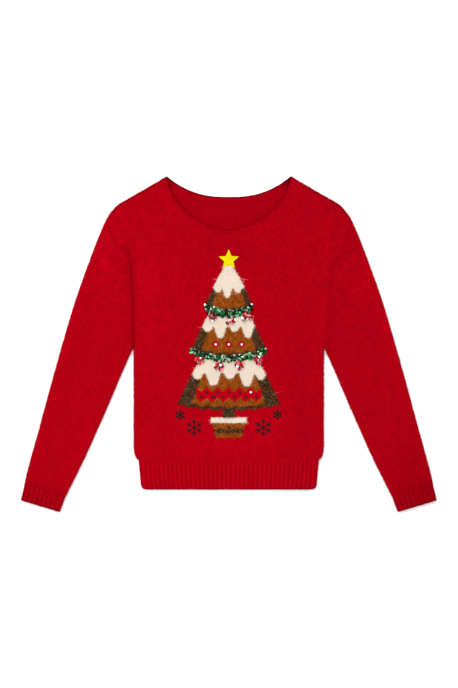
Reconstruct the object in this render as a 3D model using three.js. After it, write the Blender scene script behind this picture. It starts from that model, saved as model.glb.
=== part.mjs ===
// A knitted Christmas sweater with long sleeves, laid flat and face up on a surface.
// Millimetres. X runs across the garment, Y from the hem to the neck, Z up from that surface.
// The origin is the middle of the outline, on the surface. The right half is drawn and mirrored.
import * as THREE from 'three';

// Cloth
const WALL = 2.8; // thickness of the knitted cloth
const LAID_HEIGHT = 8.6; // outside height of two layers that lie on each other
const FOLD_RADIUS = LAID_HEIGHT / 2; // outer radius where the cloth turns under at a side
const SEAM_GAP = 0.3; // clear space between two pieces at a seam
const SEAM_DIP = 0.9; // how far the cloth sinks at a seam
const SEAM_REACH = 6; // how far from a seam the cloth is level again
const SAME_PLACE = 0.01; // places closer than this in plan count as one

// Body
const HALF_CHEST = 190; // half the width across the chest, laid flat
const UNDERARM_Y = -4;
const SHOULDER_TIP = { x: 229, y: 271 }; // where the shoulder line meets the armhole seam
const SHOULDER_BOW = [[173, 305.4], [203, 288.2], [222, 277.2]]; // between the neck band and the tip
const ARMHOLE_POWER = 3.7; // how late the armhole seam turns out to the shoulder
const NECK_POINT = { x: 123, y: 335 }; // top corner, where the band folds over the shoulder
const BLOUSE_Y = -215; // below this the body is drawn in to its hem
const BLOUSE_INSET = 9; // by how much, each side
const HEM_JOIN = { side: -230, middle: -239 }; // height of the seam above the hem rib
const BLOUSE_RISE = 1.1; // how much fuller the body lies just above the hem rib
const BLOUSE_WIDTH = 13; // half the height of that fullness
const BLOUSE_SIDE = { none: -5, full: 7 }; // distances inside the body's side where it starts and is whole

// Neck
const NECK_POWER = 1.83; // squareness of the front neckline, 2 for an ellipse
const FRONT_NECK_Y = 225.4; // lowest point of the front neckline
const BACK_NECK_Y = 292; // lowest point of the back neckline
const BACK_NECK_POWER = 2.5;
const BAND_WIDTH = 24; // neck rib, at the front
const BACK_BAND_WIDTH = 15; // neck rib, at the middle of the back
const NECK_SHARE = 0.62; // share of the top edge of a panel that is neckline
const NECK_PARTS = 9; // straight stretches in half a neckline seam
const NECK_STEPS = 48; // points that shape half a neckline

// Hem rib
const HEM = { top: 180.5, bottom: 175.5, corner: 8, endY: -292.4, ribs: 39, relief: 1.0 };

// Cuff, as its outer and inner corners
const CUFF_TOP = { outer: [407, -281.6], inner: [324.4, -306.2] };
const CUFF_END = { outer: [415.5, -312.5], inner: [337, -335] };
const CUFF_RIBS = 8;
const CUFF_RELIEF = 1.1;

// Neck ribs
const BAND_RIBS = 40;
const BAND_RELIEF = 0.8;

// Sleeve edges, from the armhole to the cuff
const SLEEVE_OUTER = [
  [SHOULDER_TIP.x, SHOULDER_TIP.y], [239, 257], [250, 235], [274, 175], [309, 79], [343, -37],
  [385, -193], CUFF_TOP.outer,
];
const SLEEVE_INNER = [[HALF_CHEST, UNDERARM_Y], [205, -37], [246, -133], [289, -229], CUFF_TOP.inner];
const SLEEVE_FAN = 0.65; // how much the sections turn from the armhole seam to straight across

// Soft creases of the upper layer: from and to in plan, half width, and rise, below zero for a trough
const CREASES = [
  { from: [-233, 215], to: [-197, 175], width: 7, rise: -1.3 },
  { from: [257, 195], to: [211, 157], width: 8, rise: -1.2 },
  { from: [-133, -108], to: [-125, -222], width: 12, rise: -0.9 },
  { from: [143, -23], to: [149, -173], width: 15, rise: -0.9 },
  { from: [-157, 127], to: [-153, 27], width: 18, rise: 0.8 },
  { from: [173, 237], to: [143, 207], width: 9, rise: 0.7 },
  { from: [-287, 40], to: [-331, -140], width: 15, rise: -0.8 },
  { from: [300, 30], to: [338, -150], width: 14, rise: -0.7 },
  { from: [-236, -70], to: [-300, -106], width: 9, rise: 0.6 },
  { from: [240, -92], to: [318, -120], width: 9, rise: 0.6 },
];

// Felt star
const STAR = { y: 168, outer: 21, inner: 9.2, points: 5, thick: 1.4, bevel: 0.3 };

const FOLD_STEPS = 3; // straight steps in a quarter turn at a folded side
const ARM_PARTS = 7; // stretches along the armhole seam between its two folded ends
const BODY_ROWS = 5; // stretches up the side below the underarm
const ROW_CROWDING = 0.8; // power that widens them towards the hem
const BLOUSE_ROWS = [5, 13]; // more rows, this far above the hem seam
const SHOULDER_COLUMNS = 3;
const SIDE_PULL = 4; // power by which the columns of a panel follow the curve of its side
const SLEEVE_ROWS = [0, 0.014, 0.05, 0.11, 0.18, 0.27, 0.38, 0.5, 0.62, 0.75, 0.88, 1];
const CUFF_ROWS = [0, 0.35, 0.9, 1];
const HEM_ROWS = { upper: 0.3, corner: 0.4 }; // shares of the rib's height and, from below, of its corner's
const BAND_ROWS = [0, 0.5, 1];
const RIB_PARTS = 2; // places across a rib: its groove and its crest
const UNDER_PARTS = 6; // stretches across a plain underside

const COLOURS = { red: '#b80116', felt: '#f3e712' };

const lerp = (a, b, t) => a + (b - a) * t;
const mix = (p, q, t) => [lerp(p[0], q[0], t), lerp(p[1], q[1], t)];
const distance = (p, q) => Math.hypot(p[0] - q[0], p[1] - q[1]);
const planCurve = (points) =>
  new THREE.CatmullRomCurve3(points.map(([x, y]) => new THREE.Vector3(x, y, 0)), false, 'centripetal');
const planAt = (curve, t) => {
  const p = curve.getPointAt(THREE.MathUtils.clamp(t, 0, 1));
  return [p.x, p.y];
};

// The height of the upper face of the upper layer.
function heightAt([x, y]) {
  let height = LAID_HEIGHT;
  for (const { from, to, width, rise } of CREASES) {
    const along = [to[0] - from[0], to[1] - from[1]];
    const t = ((x - from[0]) * along[0] + (y - from[1]) * along[1]) / (along[0] ** 2 + along[1] ** 2);
    const [nearX, nearY] = mix(from, to, THREE.MathUtils.clamp(t, 0, 1));
    height += rise * Math.exp(-((x - nearX) ** 2 + (y - nearY) ** 2) / width ** 2);
  }
  const onBody = THREE.MathUtils.smoothstep(HALF_CHEST - Math.abs(x), BLOUSE_SIDE.none, BLOUSE_SIDE.full);
  return height + onBody * BLOUSE_RISE * Math.exp(-(((y - BLOUSE_Y) / BLOUSE_WIDTH) ** 2));
}

const seamDip = (distance) => SEAM_DIP * Math.max(0, 1 - distance / SEAM_REACH) ** 2;

// Insets from a folded edge, from the fold itself to where the cloth is level, with their lift.
const FOLD = Array.from({ length: FOLD_STEPS + 1 }, (_, i) => {
  const angle = (i / FOLD_STEPS) * (Math.PI / 2);
  return { inset: FOLD_RADIUS * (1 - Math.cos(angle)), lift: Math.sin(angle) };
});

// Places across a layer of the given width with a fold at both ends, as shares of the width.
function acrossLayer(width, parts) {
  const start = FOLD.map(({ inset, lift }) => ({ f: inset / width, lift }));
  const level = Array.from({ length: parts - 1 }, (_, i) => {
    const inset = FOLD_RADIUS + ((width - 2 * FOLD_RADIUS) * (i + 1)) / parts;
    return { f: inset / width, lift: 1 };
  });
  const end = start.map(({ f, lift }) => ({ f: 1 - f, lift })).reverse();
  return [...start, ...level, ...end];
}

// Body outline
const SHOULDER_SLOPE = Math.atan2(NECK_POINT.y - SHOULDER_TIP.y, SHOULDER_TIP.x - NECK_POINT.x);

function bodyEdge(y) {
  if (y > UNDERARM_Y) {
    const share = Math.min(1, (y - UNDERARM_Y) / (SHOULDER_TIP.y - UNDERARM_Y));
    return HALF_CHEST + (SHOULDER_TIP.x - HALF_CHEST) * share ** ARMHOLE_POWER;
  }
  const drawn = Math.min(1, Math.max(0, BLOUSE_Y - y) / (BLOUSE_Y - HEM_JOIN.side));
  return HALF_CHEST - BLOUSE_INSET * (1 - Math.sqrt(1 - drawn ** 2));
}

const hemJoin = (c) => lerp(HEM_JOIN.middle, HEM_JOIN.side, c ** 2);

// Neckline edges, from the right neck point to the middle: the free edge and the seam edge of the band.
function neckEdges(back) {
  const free = [];
  const seam = [];
  for (let i = 0; i <= NECK_STEPS; i++) {
    const t = i / NECK_STEPS;
    const angle = (t * Math.PI) / 2;
    const edge = back
      ? [NECK_POINT.x * (1 - t), BACK_NECK_Y + (NECK_POINT.y - BACK_NECK_Y) * (1 - t) ** BACK_NECK_POWER]
      : [
          NECK_POINT.x * Math.cos(angle) ** (2 / NECK_POWER),
          NECK_POINT.y - (NECK_POINT.y - FRONT_NECK_Y) * Math.sin(angle) ** (2 / NECK_POWER),
        ];
    const width = back ? lerp(BAND_WIDTH, BACK_BAND_WIDTH, Math.sin(angle)) : BAND_WIDTH;
    const turn = lerp(SHOULDER_SLOPE, Math.PI / 2, back ? t ** 0.5 : t);
    free.push(edge);
    seam.push([edge[0] + width * Math.cos(turn), edge[1] - width * Math.sin(turn)]);
  }
  return { free: planCurve(free), seam: planCurve(seam) };
}
const NECK = { front: neckEdges(false), back: neckEdges(true) };

// The seam of the neck band as straight stretches, t from the right shoulder to the middle.
function neckSeam(side, t) {
  const at = Math.min(t, 1) * NECK_PARTS;
  const i = Math.min(NECK_PARTS - 1, Math.floor(at));
  return mix(planAt(NECK[side].seam, i / NECK_PARTS), planAt(NECK[side].seam, (i + 1) / NECK_PARTS), at - i);
}
const BAND_CORNER = neckSeam('front', 0);
const SHOULDER = planCurve([BAND_CORNER, ...SHOULDER_BOW, [SHOULDER_TIP.x, SHOULDER_TIP.y]]);

function distanceToNeck(side, x, y) {
  const here = new THREE.Vector3(Math.abs(x), y, 0);
  const nearest = new THREE.Vector3();
  const distances = Array.from({ length: NECK_PARTS }, (_, i) => {
    const ends = [i, i + 1].map((k) => new THREE.Vector3(...neckSeam(side, k / NECK_PARTS), 0));
    return new THREE.Line3(...ends).closestPointToPoint(here, true, nearest).distanceTo(here);
  });
  return Math.min(...distances);
}

// A place on the outer face of a piece: lift goes from 0 where the cloth turns under to 1 where it is level,
// and layer is 1 in the upper layer, -1 in the lower.
const place = (x, y, z, lift, layer) => Object.assign(new THREE.Vector3(x, y, z), { lift, layer });

// Neighbours between which a seam runs, as steps up and across
const ALONG_ROW = [[0, -1], [0, 1]];
const ALONG_COLUMN = [[-1, 0], [1, 0]];

// A closed wall of knitted cloth over a grid of places on its outer face. at(i, j) gives a place,
// relief(i, j) raises the outer face over a plain inside, folded(i, j) says where an edge turns under,
// and seam(i, j) gives the neighbours along an edge that meets another piece.
function wall({ name, rows, columns, closed, at, relief = () => 0, folded, seam, top }) {
  const middle = LAID_HEIGHT / 2;
  const grid = [];
  for (let i = 0; i < rows; i++) for (let j = 0; j < columns; j++) grid.push(at(i, j));
  // The place past an edge: mirrored through the middle height at a fold, straight on elsewhere.
  const past = (edge, inside, fold) =>
    fold ? inside.clone().setZ(2 * middle - inside.z) : edge.clone().multiplyScalar(2).sub(inside);
  const near = (i, j, [up, side]) => {
    const row = i + up;
    const column = closed ? (j + side + columns) % columns : j + side;
    if (row >= 0 && row < rows && column >= 0 && column < columns) return grid[row * columns + column];
    const fold = !closed && (up ? folded(i, j).top : folded(i, j).side);
    return past(grid[i * columns + j], near(i, j, [-up, -side]), fold);
  };
  const between = (i, j, [before, after]) => near(i, j, after).clone().sub(near(i, j, before));
  const normalAt = (i, j) => between(i, j, ALONG_ROW).cross(between(i, j, ALONG_COLUMN));
  const turn = Math.sign(normalAt(top.row, top.column).z) * (top.layer ?? 1);

  // Level cloth is thick straight up. At a fold the wall turns with it, and at a seam it stays in the seam.
  const outward = grid.map(({ lift, layer }, k) => {
    if (lift === 1) return new THREE.Vector3(0, 0, layer);
    const i = Math.floor(k / columns);
    const j = k % columns;
    const out = normalAt(i, j).multiplyScalar(turn).setZ(0).normalize();
    const neighbours = seam(i, j);
    if (neighbours) {
      const run = between(i, j, neighbours).setZ(0);
      if (run.length() < SAME_PLACE) run.copy(between(i, j, [[0, 0], neighbours[1]]).setZ(0));
      out.copy(run.normalize().multiplyScalar(Math.sign(out.dot(run))));
    }
    return out.multiplyScalar(Math.sqrt(1 - lift ** 2)).setZ(layer * lift);
  });
  const lifted = (p, k) =>
    p.clone().addScaledVector(outward[k], relief(Math.floor(k / columns), k % columns));
  const points = [...grid.map(lifted), ...grid.map((p, k) => p.clone().addScaledVector(outward[k], -WALL))];
  const faces = [];
  const quad = (a, b, c, d) => (turn > 0 ? faces.push(a, b, c, a, c, d) : faces.push(a, c, b, a, d, c));
  const outer = (i, j) => i * columns + (j % columns);
  const inner = (i, j) => rows * columns + outer(i, j);
  const spans = closed ? columns : columns - 1;
  for (let i = 0; i < rows - 1; i++) {
    for (let j = 0; j < spans; j++) {
      quad(outer(i, j), outer(i, j + 1), outer(i + 1, j + 1), outer(i + 1, j));
      quad(inner(i, j), inner(i + 1, j), inner(i + 1, j + 1), inner(i, j + 1));
    }
    if (!closed) {
      quad(outer(i, 0), outer(i + 1, 0), inner(i + 1, 0), inner(i, 0));
      quad(outer(i, spans), inner(i, spans), inner(i + 1, spans), outer(i + 1, spans));
    }
  }
  for (let j = 0; j < spans; j++) {
    quad(outer(0, j), inner(0, j), inner(0, j + 1), outer(0, j + 1));
    quad(outer(rows - 1, j), outer(rows - 1, j + 1), inner(rows - 1, j + 1), inner(rows - 1, j));
  }
  const geometry = new THREE.BufferGeometry().setFromPoints(points);
  geometry.setIndex(faces);
  geometry.computeVertexNormals();
  return clothMesh(name, geometry, COLOURS.red);
}

function clothMesh(name, geometry, colour) {
  const material = new THREE.MeshStandardMaterial({ color: colour, roughness: 0.95, metalness: 0 });
  const mesh = new THREE.Mesh(geometry, material);
  mesh.name = name;
  return mesh;
}

// A flattened tube: one layer above and one below, joined at a fold on both sides.
// plan(side, row, f) gives the place in plan; width(row) is the length of a section across;
// seamRows are the rows that meet another piece; endRows are those where the wall's end stays in its section.
function flatTube({ name, rows, parts, underParts, width, plan, seamRows, endRows = seamRows, relief }) {
  const columns = acrossLayer(width(0), parts).length + acrossLayer(width(0), underParts).length - 2;
  const at = (i, j) => {
    const above = acrossLayer(width(i), parts);
    const below = acrossLayer(width(i), underParts).reverse().slice(1, -1);
    const upper = j < above.length;
    const { f, lift } = upper ? above[j] : below[j - above.length];
    const [x, y] = plan(upper ? 'front' : 'back', i, f);
    const level = upper ? heightAt([x, y]) - (seamRows.includes(i) ? SEAM_DIP : 0) : 0;
    return place(x, y, lerp(LAID_HEIGHT / 2, level, lift), lift, upper ? 1 : -1);
  };
  const first = FOLD.length - 1; // the first level column of the upper layer
  const last = first + parts;
  const top = { row: 1, column: first + Math.floor(parts / 2) };
  // At a folded side the wall follows the seam of the lower layer.
  const seam = (i, j) => {
    if (!endRows.includes(i)) return null;
    if (j === 0) return [[0, 0], [0, -1]];
    return j === last + first ? [[0, 0], [0, 1]] : ALONG_ROW;
  };
  // Ribs: grooves at the even places, crests between them.
  const ribAt = (i, j) => {
    const crest = relief && j > first && j < last && (j - first) % RIB_PARTS !== 0;
    return crest ? relief(i) : 0;
  };
  return wall({ name, rows, columns, closed: true, at, relief: ribAt, seam, top });
}

// Body panels
function bodyPanel(name, side) {
  const sign = side === 'front' ? 1 : -1;
  const armhole = SHOULDER_TIP.y - UNDERARM_Y;
  const length = SHOULDER_TIP.y - HEM_JOIN.side;
  const rowYs = [
    ...Array.from({ length: BODY_ROWS }, (_, i) =>
      lerp(HEM_JOIN.side, UNDERARM_Y, (i / BODY_ROWS) ** ROW_CROWDING)),
    ...acrossLayer(armhole, ARM_PARTS).map(({ f }) => UNDERARM_Y + f * armhole),
  ];
  rowYs.splice(1, 0, ...BLOUSE_ROWS.map((rise) => HEM_JOIN.side + rise));
  const rows = rowYs.length;

  // Places across the upper edge: the neckline from the middle, then the shoulder.
  const half = [];
  for (let i = 0; i < NECK_PARTS; i++) half.push({ c: (NECK_SHARE * i) / NECK_PARTS, shoulder: 0 });
  const seamLength = NECK[side].seam.getLength();
  half.push({ c: NECK_SHARE * (1 - FOLD_RADIUS / seamLength), shoulder: 0 });
  for (let i = 0; i < SHOULDER_COLUMNS; i++) {
    half.push({ c: lerp(NECK_SHARE, 1 - FOLD_RADIUS / HALF_CHEST, i / SHOULDER_COLUMNS), shoulder: 1 });
  }
  for (const { inset } of [...FOLD].reverse()) half.push({ c: 1 - inset / HALF_CHEST, shoulder: 1 });
  const across = [...half.slice(1).reverse().map(({ c, shoulder }) => ({ c: -c, shoulder })), ...half];
  const columns = across.length;

  const topEdge = (c) => {
    const share = Math.abs(c);
    const flip = c < 0 ? -1 : 1;
    const inNeck = share <= NECK_SHARE;
    const [x, y] = inNeck
      ? neckSeam(side, 1 - share / NECK_SHARE)
      : planAt(SHOULDER, (share - NECK_SHARE) / (1 - NECK_SHARE));
    return [flip * x, y];
  };
  // A patch between the hem seam, the two sides and the upper edge.
  const patch = (c, v) => {
    const low = [bodyEdge(HEM_JOIN.side) * c, hemJoin(c)];
    const [x, y] = mix(low, topEdge(c), v);
    const straight = lerp(bodyEdge(HEM_JOIN.side), SHOULDER_TIP.x, v);
    const bend = bodyEdge(HEM_JOIN.side + v * length) - straight;
    return [x + Math.sign(c) * Math.abs(c) ** SIDE_PULL * bend, y];
  };

  const at = (i, j) => {
    const { c, shoulder } = across[j];
    const v = (rowYs[i] - HEM_JOIN.side) / length;
    const fromTop = rows - 1 - i;
    const onSide = rowYs[i] <= UNDERARM_Y + SAME_PLACE;
    const fromSide = Math.min(j, columns - 1 - j);
    const sideLift = onSide && fromSide < FOLD.length ? FOLD[fromSide].lift : 1;
    const armRow = fromTop < FOLD.length ? FOLD[fromTop].lift : 1;
    const lift = Math.min(sideLift, shoulder ? armRow : 1);
    let [x, y] = patch(c, v);
    // Half the seam gap is taken off at the armhole and the hem.
    if (fromSide === 0) x -= Math.sign(c) * (SEAM_GAP / 2);
    if (i === 0) y += SEAM_GAP / 2;
    const nearArm = onSide ? Infinity : (1 - Math.abs(c)) * HALF_CHEST;
    const dip = seamDip(Math.min(nearArm, distanceToNeck(side, x, y), v * length));
    const middle = LAID_HEIGHT / 2 + (sign * SEAM_GAP) / 2;
    const level = side === 'front' ? heightAt([x, y]) - dip : 0;
    return place(x, y, lerp(middle, level, lift), lift, sign);
  };
  const folded = (i, j) => ({ side: rowYs[i] <= UNDERARM_Y + SAME_PLACE, top: across[j].shoulder });
  const seam = (i, j) => {
    const onSide = j === 0 || j === columns - 1;
    const { c } = across[j];
    if (onSide && rowYs[i] > UNDERARM_Y + SAME_PLACE) return ALONG_COLUMN;
    if (i >= rows - FOLD.length && Math.abs(c) === NECK_SHARE) return [[0, 0], [0, -Math.sign(c)]];
    return i === 0 ? ALONG_ROW : null;
  };
  const top = { row: Math.floor(rows / 4), column: Math.floor(columns / 2), layer: sign };
  return wall({ name, rows, columns, closed: false, at, folded, seam, top });
}

// Sleeve: its sections turn from the armhole seam to straight across the arm
const sleeveOuter = planCurve(SLEEVE_OUTER);
const sleeveInner = planCurve(SLEEVE_INNER);

function sleeve(name, mirror) {
  const ends = SLEEVE_ROWS.map((v) => ({
    outer: planAt(sleeveOuter, v),
    inner: planAt(sleeveInner, lerp(v, v * v, SLEEVE_FAN)),
  }));
  const rows = ends.length;
  const width = (i) => (i === 0 ? SHOULDER_TIP.y - UNDERARM_Y : distance(ends[i].outer, ends[i].inner));
  // The first section lies along the armhole seam, and its curve fades down the arm.
  const plan = (side, i, f) => {
    const [x, y] = mix(ends[i].outer, ends[i].inner, f);
    const seamX = bodyEdge(lerp(SHOULDER_TIP.y, UNDERARM_Y, f));
    const bulge = (seamX - lerp(SHOULDER_TIP.x, HALF_CHEST, f)) * (1 - SLEEVE_ROWS[i]) ** 2;
    return [mirror * (x + bulge + (i === 0 ? SEAM_GAP / 2 : 0)), y];
  };
  const seamRows = [0, rows - 1];
  return flatTube({ name, rows, parts: ARM_PARTS, underParts: ARM_PARTS, width, plan, seamRows });
}

function cuff(name, mirror) {
  const start = SEAM_GAP / distance(CUFF_END.outer, CUFF_TOP.outer);
  const ends = CUFF_ROWS.map((v) => {
    const t = Math.max(v, start);
    return { outer: mix(CUFF_TOP.outer, CUFF_END.outer, t), inner: mix(CUFF_TOP.inner, CUFF_END.inner, t) };
  });
  const rows = ends.length;
  const width = (i) => distance(ends[i].outer, ends[i].inner);
  const plan = (side, i, f) => {
    const [x, y] = mix(ends[i].outer, ends[i].inner, f);
    return [mirror * x, y];
  };
  const relief = (i) => (i === 0 ? 0 : CUFF_RELIEF);
  const parts = CUFF_RIBS * RIB_PARTS;
  return flatTube({ name, rows, parts, underParts: UNDER_PARTS, width, plan, seamRows: [0], relief });
}

function hemRib(name) {
  const height = HEM_JOIN.side - HEM.endY;
  const corner = HEM.corner / height;
  const rows = [0, HEM_ROWS.upper, 1 - corner, 1 - corner * HEM_ROWS.corner, 1];
  const halfWidth = (v) => {
    const into = Math.max(0, v - (1 - corner)) / corner;
    return lerp(HEM.top, HEM.bottom, v) - HEM.corner * (1 - Math.sqrt(1 - into ** 2));
  };
  const plan = (side, i, f) => {
    const c = 1 - 2 * f;
    const top = hemJoin(c) - SEAM_GAP / 2;
    return [halfWidth(rows[i]) * c, lerp(top, HEM.endY, rows[i])];
  };
  const relief = (i) => (i === 0 ? 0 : HEM.relief);
  const width = (i) => 2 * halfWidth(rows[i]);
  const parts = HEM.ribs * RIB_PARTS;
  const underParts = UNDER_PARTS * 2;
  const endRows = [0, rows.length - 1];
  return flatTube({
    name, rows: rows.length, parts, underParts, width, plan, seamRows: [0], endRows, relief,
  });
}

// Neck band: the sections run from its free edge to its seam
function neckBand(name) {
  const rows = BAND_ROWS.length;
  const parts = BAND_RIBS * RIB_PARTS;
  const plan = (side, i, f) => {
    const t = 1 - Math.abs(1 - 2 * f);
    const free = planAt(NECK[side].free, t);
    const seam = neckSeam(side, t);
    const clear = 1 - SEAM_GAP / distance(seam, free);
    const [x, y] = mix(free, seam, BAND_ROWS[i] * clear);
    return [x * (f <= 0.5 ? 1 : -1), y];
  };
  const relief = (i) => (i === rows - 1 ? 0 : BAND_RELIEF);
  const width = () => 2 * NECK.front.free.getLength();
  const underParts = NECK_PARTS * 4;
  return flatTube({ name, rows, parts, underParts, width, plan, seamRows: [rows - 1], relief });
}

function feltStar(name) {
  const shape = new THREE.Shape();
  for (let i = 0; i < STAR.points * 2; i++) {
    const radius = i % 2 ? STAR.inner : STAR.outer;
    const angle = Math.PI / 2 + (i * Math.PI) / STAR.points;
    const corner = [radius * Math.cos(angle), radius * Math.sin(angle)];
    if (i) shape.lineTo(...corner);
    else shape.moveTo(...corner);
  }
  shape.closePath();
  const geometry = new THREE.ExtrudeGeometry(shape, {
    depth: STAR.thick - 2 * STAR.bevel, bevelThickness: STAR.bevel, bevelSize: STAR.bevel, bevelSegments: 1,
  });
  geometry.translate(0, STAR.y, LAID_HEIGHT + SEAM_GAP + STAR.bevel);
  return clothMesh(name, geometry, COLOURS.felt);
}

const sweater = new THREE.Group();
sweater.add(
  bodyPanel('front_panel', 'front'),
  bodyPanel('back_panel', 'back'),
  sleeve('right_sleeve', 1),
  sleeve('left_sleeve', -1),
  cuff('right_cuff', 1),
  cuff('left_cuff', -1),
  hemRib('hem_rib'),
  neckBand('neck_band'),
  feltStar('felt_star'),
);

export default sweater;
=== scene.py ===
# A red knitted Christmas sweater, laid flat and face up, seen straight from above.
# Sizes are in millimetres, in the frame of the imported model, and turn into metres where a mesh is made.
import math

import bpy
import numpy as np
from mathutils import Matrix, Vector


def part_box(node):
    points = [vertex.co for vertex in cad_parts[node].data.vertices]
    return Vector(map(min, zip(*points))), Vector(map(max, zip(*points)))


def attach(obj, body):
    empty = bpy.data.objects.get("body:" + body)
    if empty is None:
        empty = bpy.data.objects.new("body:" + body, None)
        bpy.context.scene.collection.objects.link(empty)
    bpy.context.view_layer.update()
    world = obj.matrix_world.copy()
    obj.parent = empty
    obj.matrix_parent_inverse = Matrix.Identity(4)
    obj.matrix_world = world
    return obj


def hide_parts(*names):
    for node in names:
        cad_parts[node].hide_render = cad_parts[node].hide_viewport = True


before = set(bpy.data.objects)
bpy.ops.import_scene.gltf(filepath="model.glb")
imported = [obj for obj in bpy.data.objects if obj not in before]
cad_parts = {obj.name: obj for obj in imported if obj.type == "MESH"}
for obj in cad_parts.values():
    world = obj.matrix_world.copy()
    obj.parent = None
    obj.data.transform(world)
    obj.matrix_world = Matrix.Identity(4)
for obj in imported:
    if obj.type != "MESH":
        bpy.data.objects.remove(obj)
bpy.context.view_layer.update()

MM = 0.001
UP = np.array([0.0, 0.0, 1.0])
FAR = 1e9  # stands for the distance to a seam or an edge that a place doesn't have

# Cloth
WALL = 2.8
LAID_HEIGHT = 8.6
FOLD_RADIUS = LAID_HEIGHT / 2
LAYER_GAP = 0.3  # between the front and the back where they meet
SEAM_GAP = 0.06  # clear space at a seam
SEAM_DIP = 0.2  # how far the cloth sinks at the hem, cuff and neck seams
SEAM_REACH = 6.0
SEAM_RIM = 0.3  # rounding of a wall's end at a seam
ARM_RIM = {-1: 0.8, 1: 0.25}  # the same at each armhole
ARM_DIPS = {-1: (1.1, 4.5, 2.6, 14.0), 1: (0.2, 5.0, 1.1, 20.0)}  # body dip and reach, sleeve dip and reach
ARM_TOP = (0.26, 0.40)  # shares down the armhole between which its valley sets in
FREE_RIM = WALL / 2  # rounding of a free edge
NECK_CURL = 0.9  # how far the neck's free edge rolls down
NECK_CURL_REACH = 13.0
STITCH_W = 4.2  # one knit stitch of the body
STITCH_H = 3.0
RIB_STITCH_W = 4.5
PICTURE_STITCH = (2.6, 2.1)  # one stitch of the finer picture, across and along

# Body
HALF_CHEST = 190.0
UNDERARM_Y = -4.0
TIP = np.array([229.0, 271.0])
ARMHOLE_POWER = 3.7
NECK_POINT = np.array([124.0, 335.8])
SHOULDER_BOW = [(173.6, 306.1), (203.6, 288.9), (222.4, 277.6)]
BLOUSE_Y = -215.0
BLOUSE_START = -203.0  # where the side begins to draw in above the hem
BLOUSE_INSET = 9.0
HEM_SIDE_Y = -230.0
HEM_MIDDLE_Y = -239.0
BLOUSE_RISE = 1.1
BLOUSE_WIDTH = 13.0
BLOUSE_SIDE = (-5.0, 7.0)  # distances from the side between which the fullness sets in
SIDE_PULL = 4
TOP_FACING, NECK_FACING = (0.5, 0.866), (0.19, 0.98)  # X and Y of the way the upper end looks

# Neck
NECK_POWER = 1.70
FRONT_NECK_Y = 225.4
BACK_NECK_Y = 294.3
BACK_NECK_POWER = 2.5
BAND_WIDTH = 24.0
BACK_BAND_WIDTH = 15.0
NECK_SHARE = 0.62
BAND_RIBS = 40
BAND_RELIEF, INNER_RELIEF = 0.585, 0.52  # of the front band's ribs, and of those seen inside the back

# Hem rib
HEM_TOP = 180.5
HEM_BOTTOM = 174.9
HEM_CORNER = 9.5
HEM_END_Y = -290.8
HEM_RIBS = 39
HEM_RELIEF = 2.0
HEM_LEVEL = 0.4  # share of the relief that lies below the level of the cloth
HEM_RISE, HEM_DARKEN = (-1.0, 5.0), (-2.0, 4.0)  # lengths between which relief and shade of the ribs set in

# Cuff
CUFF_TOP = np.array([[408.3, -281.6], [326.8, -305.5]])
CUFF_END = np.array([[415.5, -312.5], [338.0, -335.8]])
CUFF_RIBS = 8
CUFF_RELIEF = 1.9
CUFF_RISE, CUFF_DARKEN = (-16.0, 14.0), (-16.0, 12.0)  # the same lengths for its ribs
RIB_FADE = 26.0  # how far the cuff's ribs reach up into the sleeve
SLEEVE_RIBS = 0.6  # their strength there

# Sleeve edges, from the armhole to the cuff
SLEEVE_OUTER = [
    TIP, (240, 257), (251.2, 235), (275, 175), (309, 79),
    (343, -37), (385.6, -193), (401.8, -252), CUFF_TOP[0],
]
SLEEVE_INNER = [(HALF_CHEST, UNDERARM_Y), (205, -37), (246, -133), (289, -229), CUFF_TOP[1]]
SLEEVE_FAN = 0.65
SLEEVE_MEAN = 180.0  # mean width of a sleeve

# Creases of the upper layer: from x, y to x, y, half width, rise
CREASES = [
    (-233, 215, -199, 177, 6, -2.2),
    (-222, 222, -200, 196, 7, 0.9),
    (-187, 206, -189, 150, 3.5, -1.3),
    (257, 195, 211, 157, 8, -1.7),
    (-133, -108, -125, -222, 12, -0.9),
    (143, -23, 149, -173, 15, -0.9),
    (-157, 127, -153, 27, 18, 0.8),
    (173, 237, 143, 207, 9, 0.7),
    (-287, 40, -331, -140, 15, -0.8),
    (300, 30, 338, -150, 14, -0.7),
    (-236, -70, -300, -106, 9, 0.6),
    (240, -92, 318, -120, 9, 0.6),
]
CREASE_PAINTED_SHADE = 0.055  # painted shade in a trough, for each millimetre of its depth
CREASE_CORE = 0.6  # share of a trough's width that gets the painted shade
WAVES = 14  # soft swells of the upper layer
WAVE_LENGTHS = (48.0, 150.0)
WAVE_HEIGHT = 0.16
STAR_Y = 168.0
STAR_FLAT = 34.0  # distance from the star within which the swells die out

FOLD_STEPS = 6
GRID = 4.2  # spacing of the mesh on level cloth
SECTION_STEP = 0.01  # share of a section over which the way to its end is measured


def lerp(a, b, t):
    return a + (b - a) * t


def smoothstep(x, low, high):
    t = np.clip((x - low) / (high - low), 0, 1)
    return t * t * (3 - 2 * t)


def bell(x, middle, width):
    """1 at the middle, falling off over the width on both sides."""
    return np.exp(-(((x - middle) / width) ** 2))


def unit(vectors):
    return vectors / (np.linalg.norm(vectors, axis=1)[:, None] + 1e-9)


def run_along(points):
    """Length along a line of points, at each of them."""
    return np.r_[0, np.cumsum(np.linalg.norm(np.diff(points, axis=0), axis=1))]


def places(points, run, at):
    """X and Y where the length along the line is at."""
    return [np.interp(at, run, points[:, k]) for k in (0, 1)]


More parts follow.
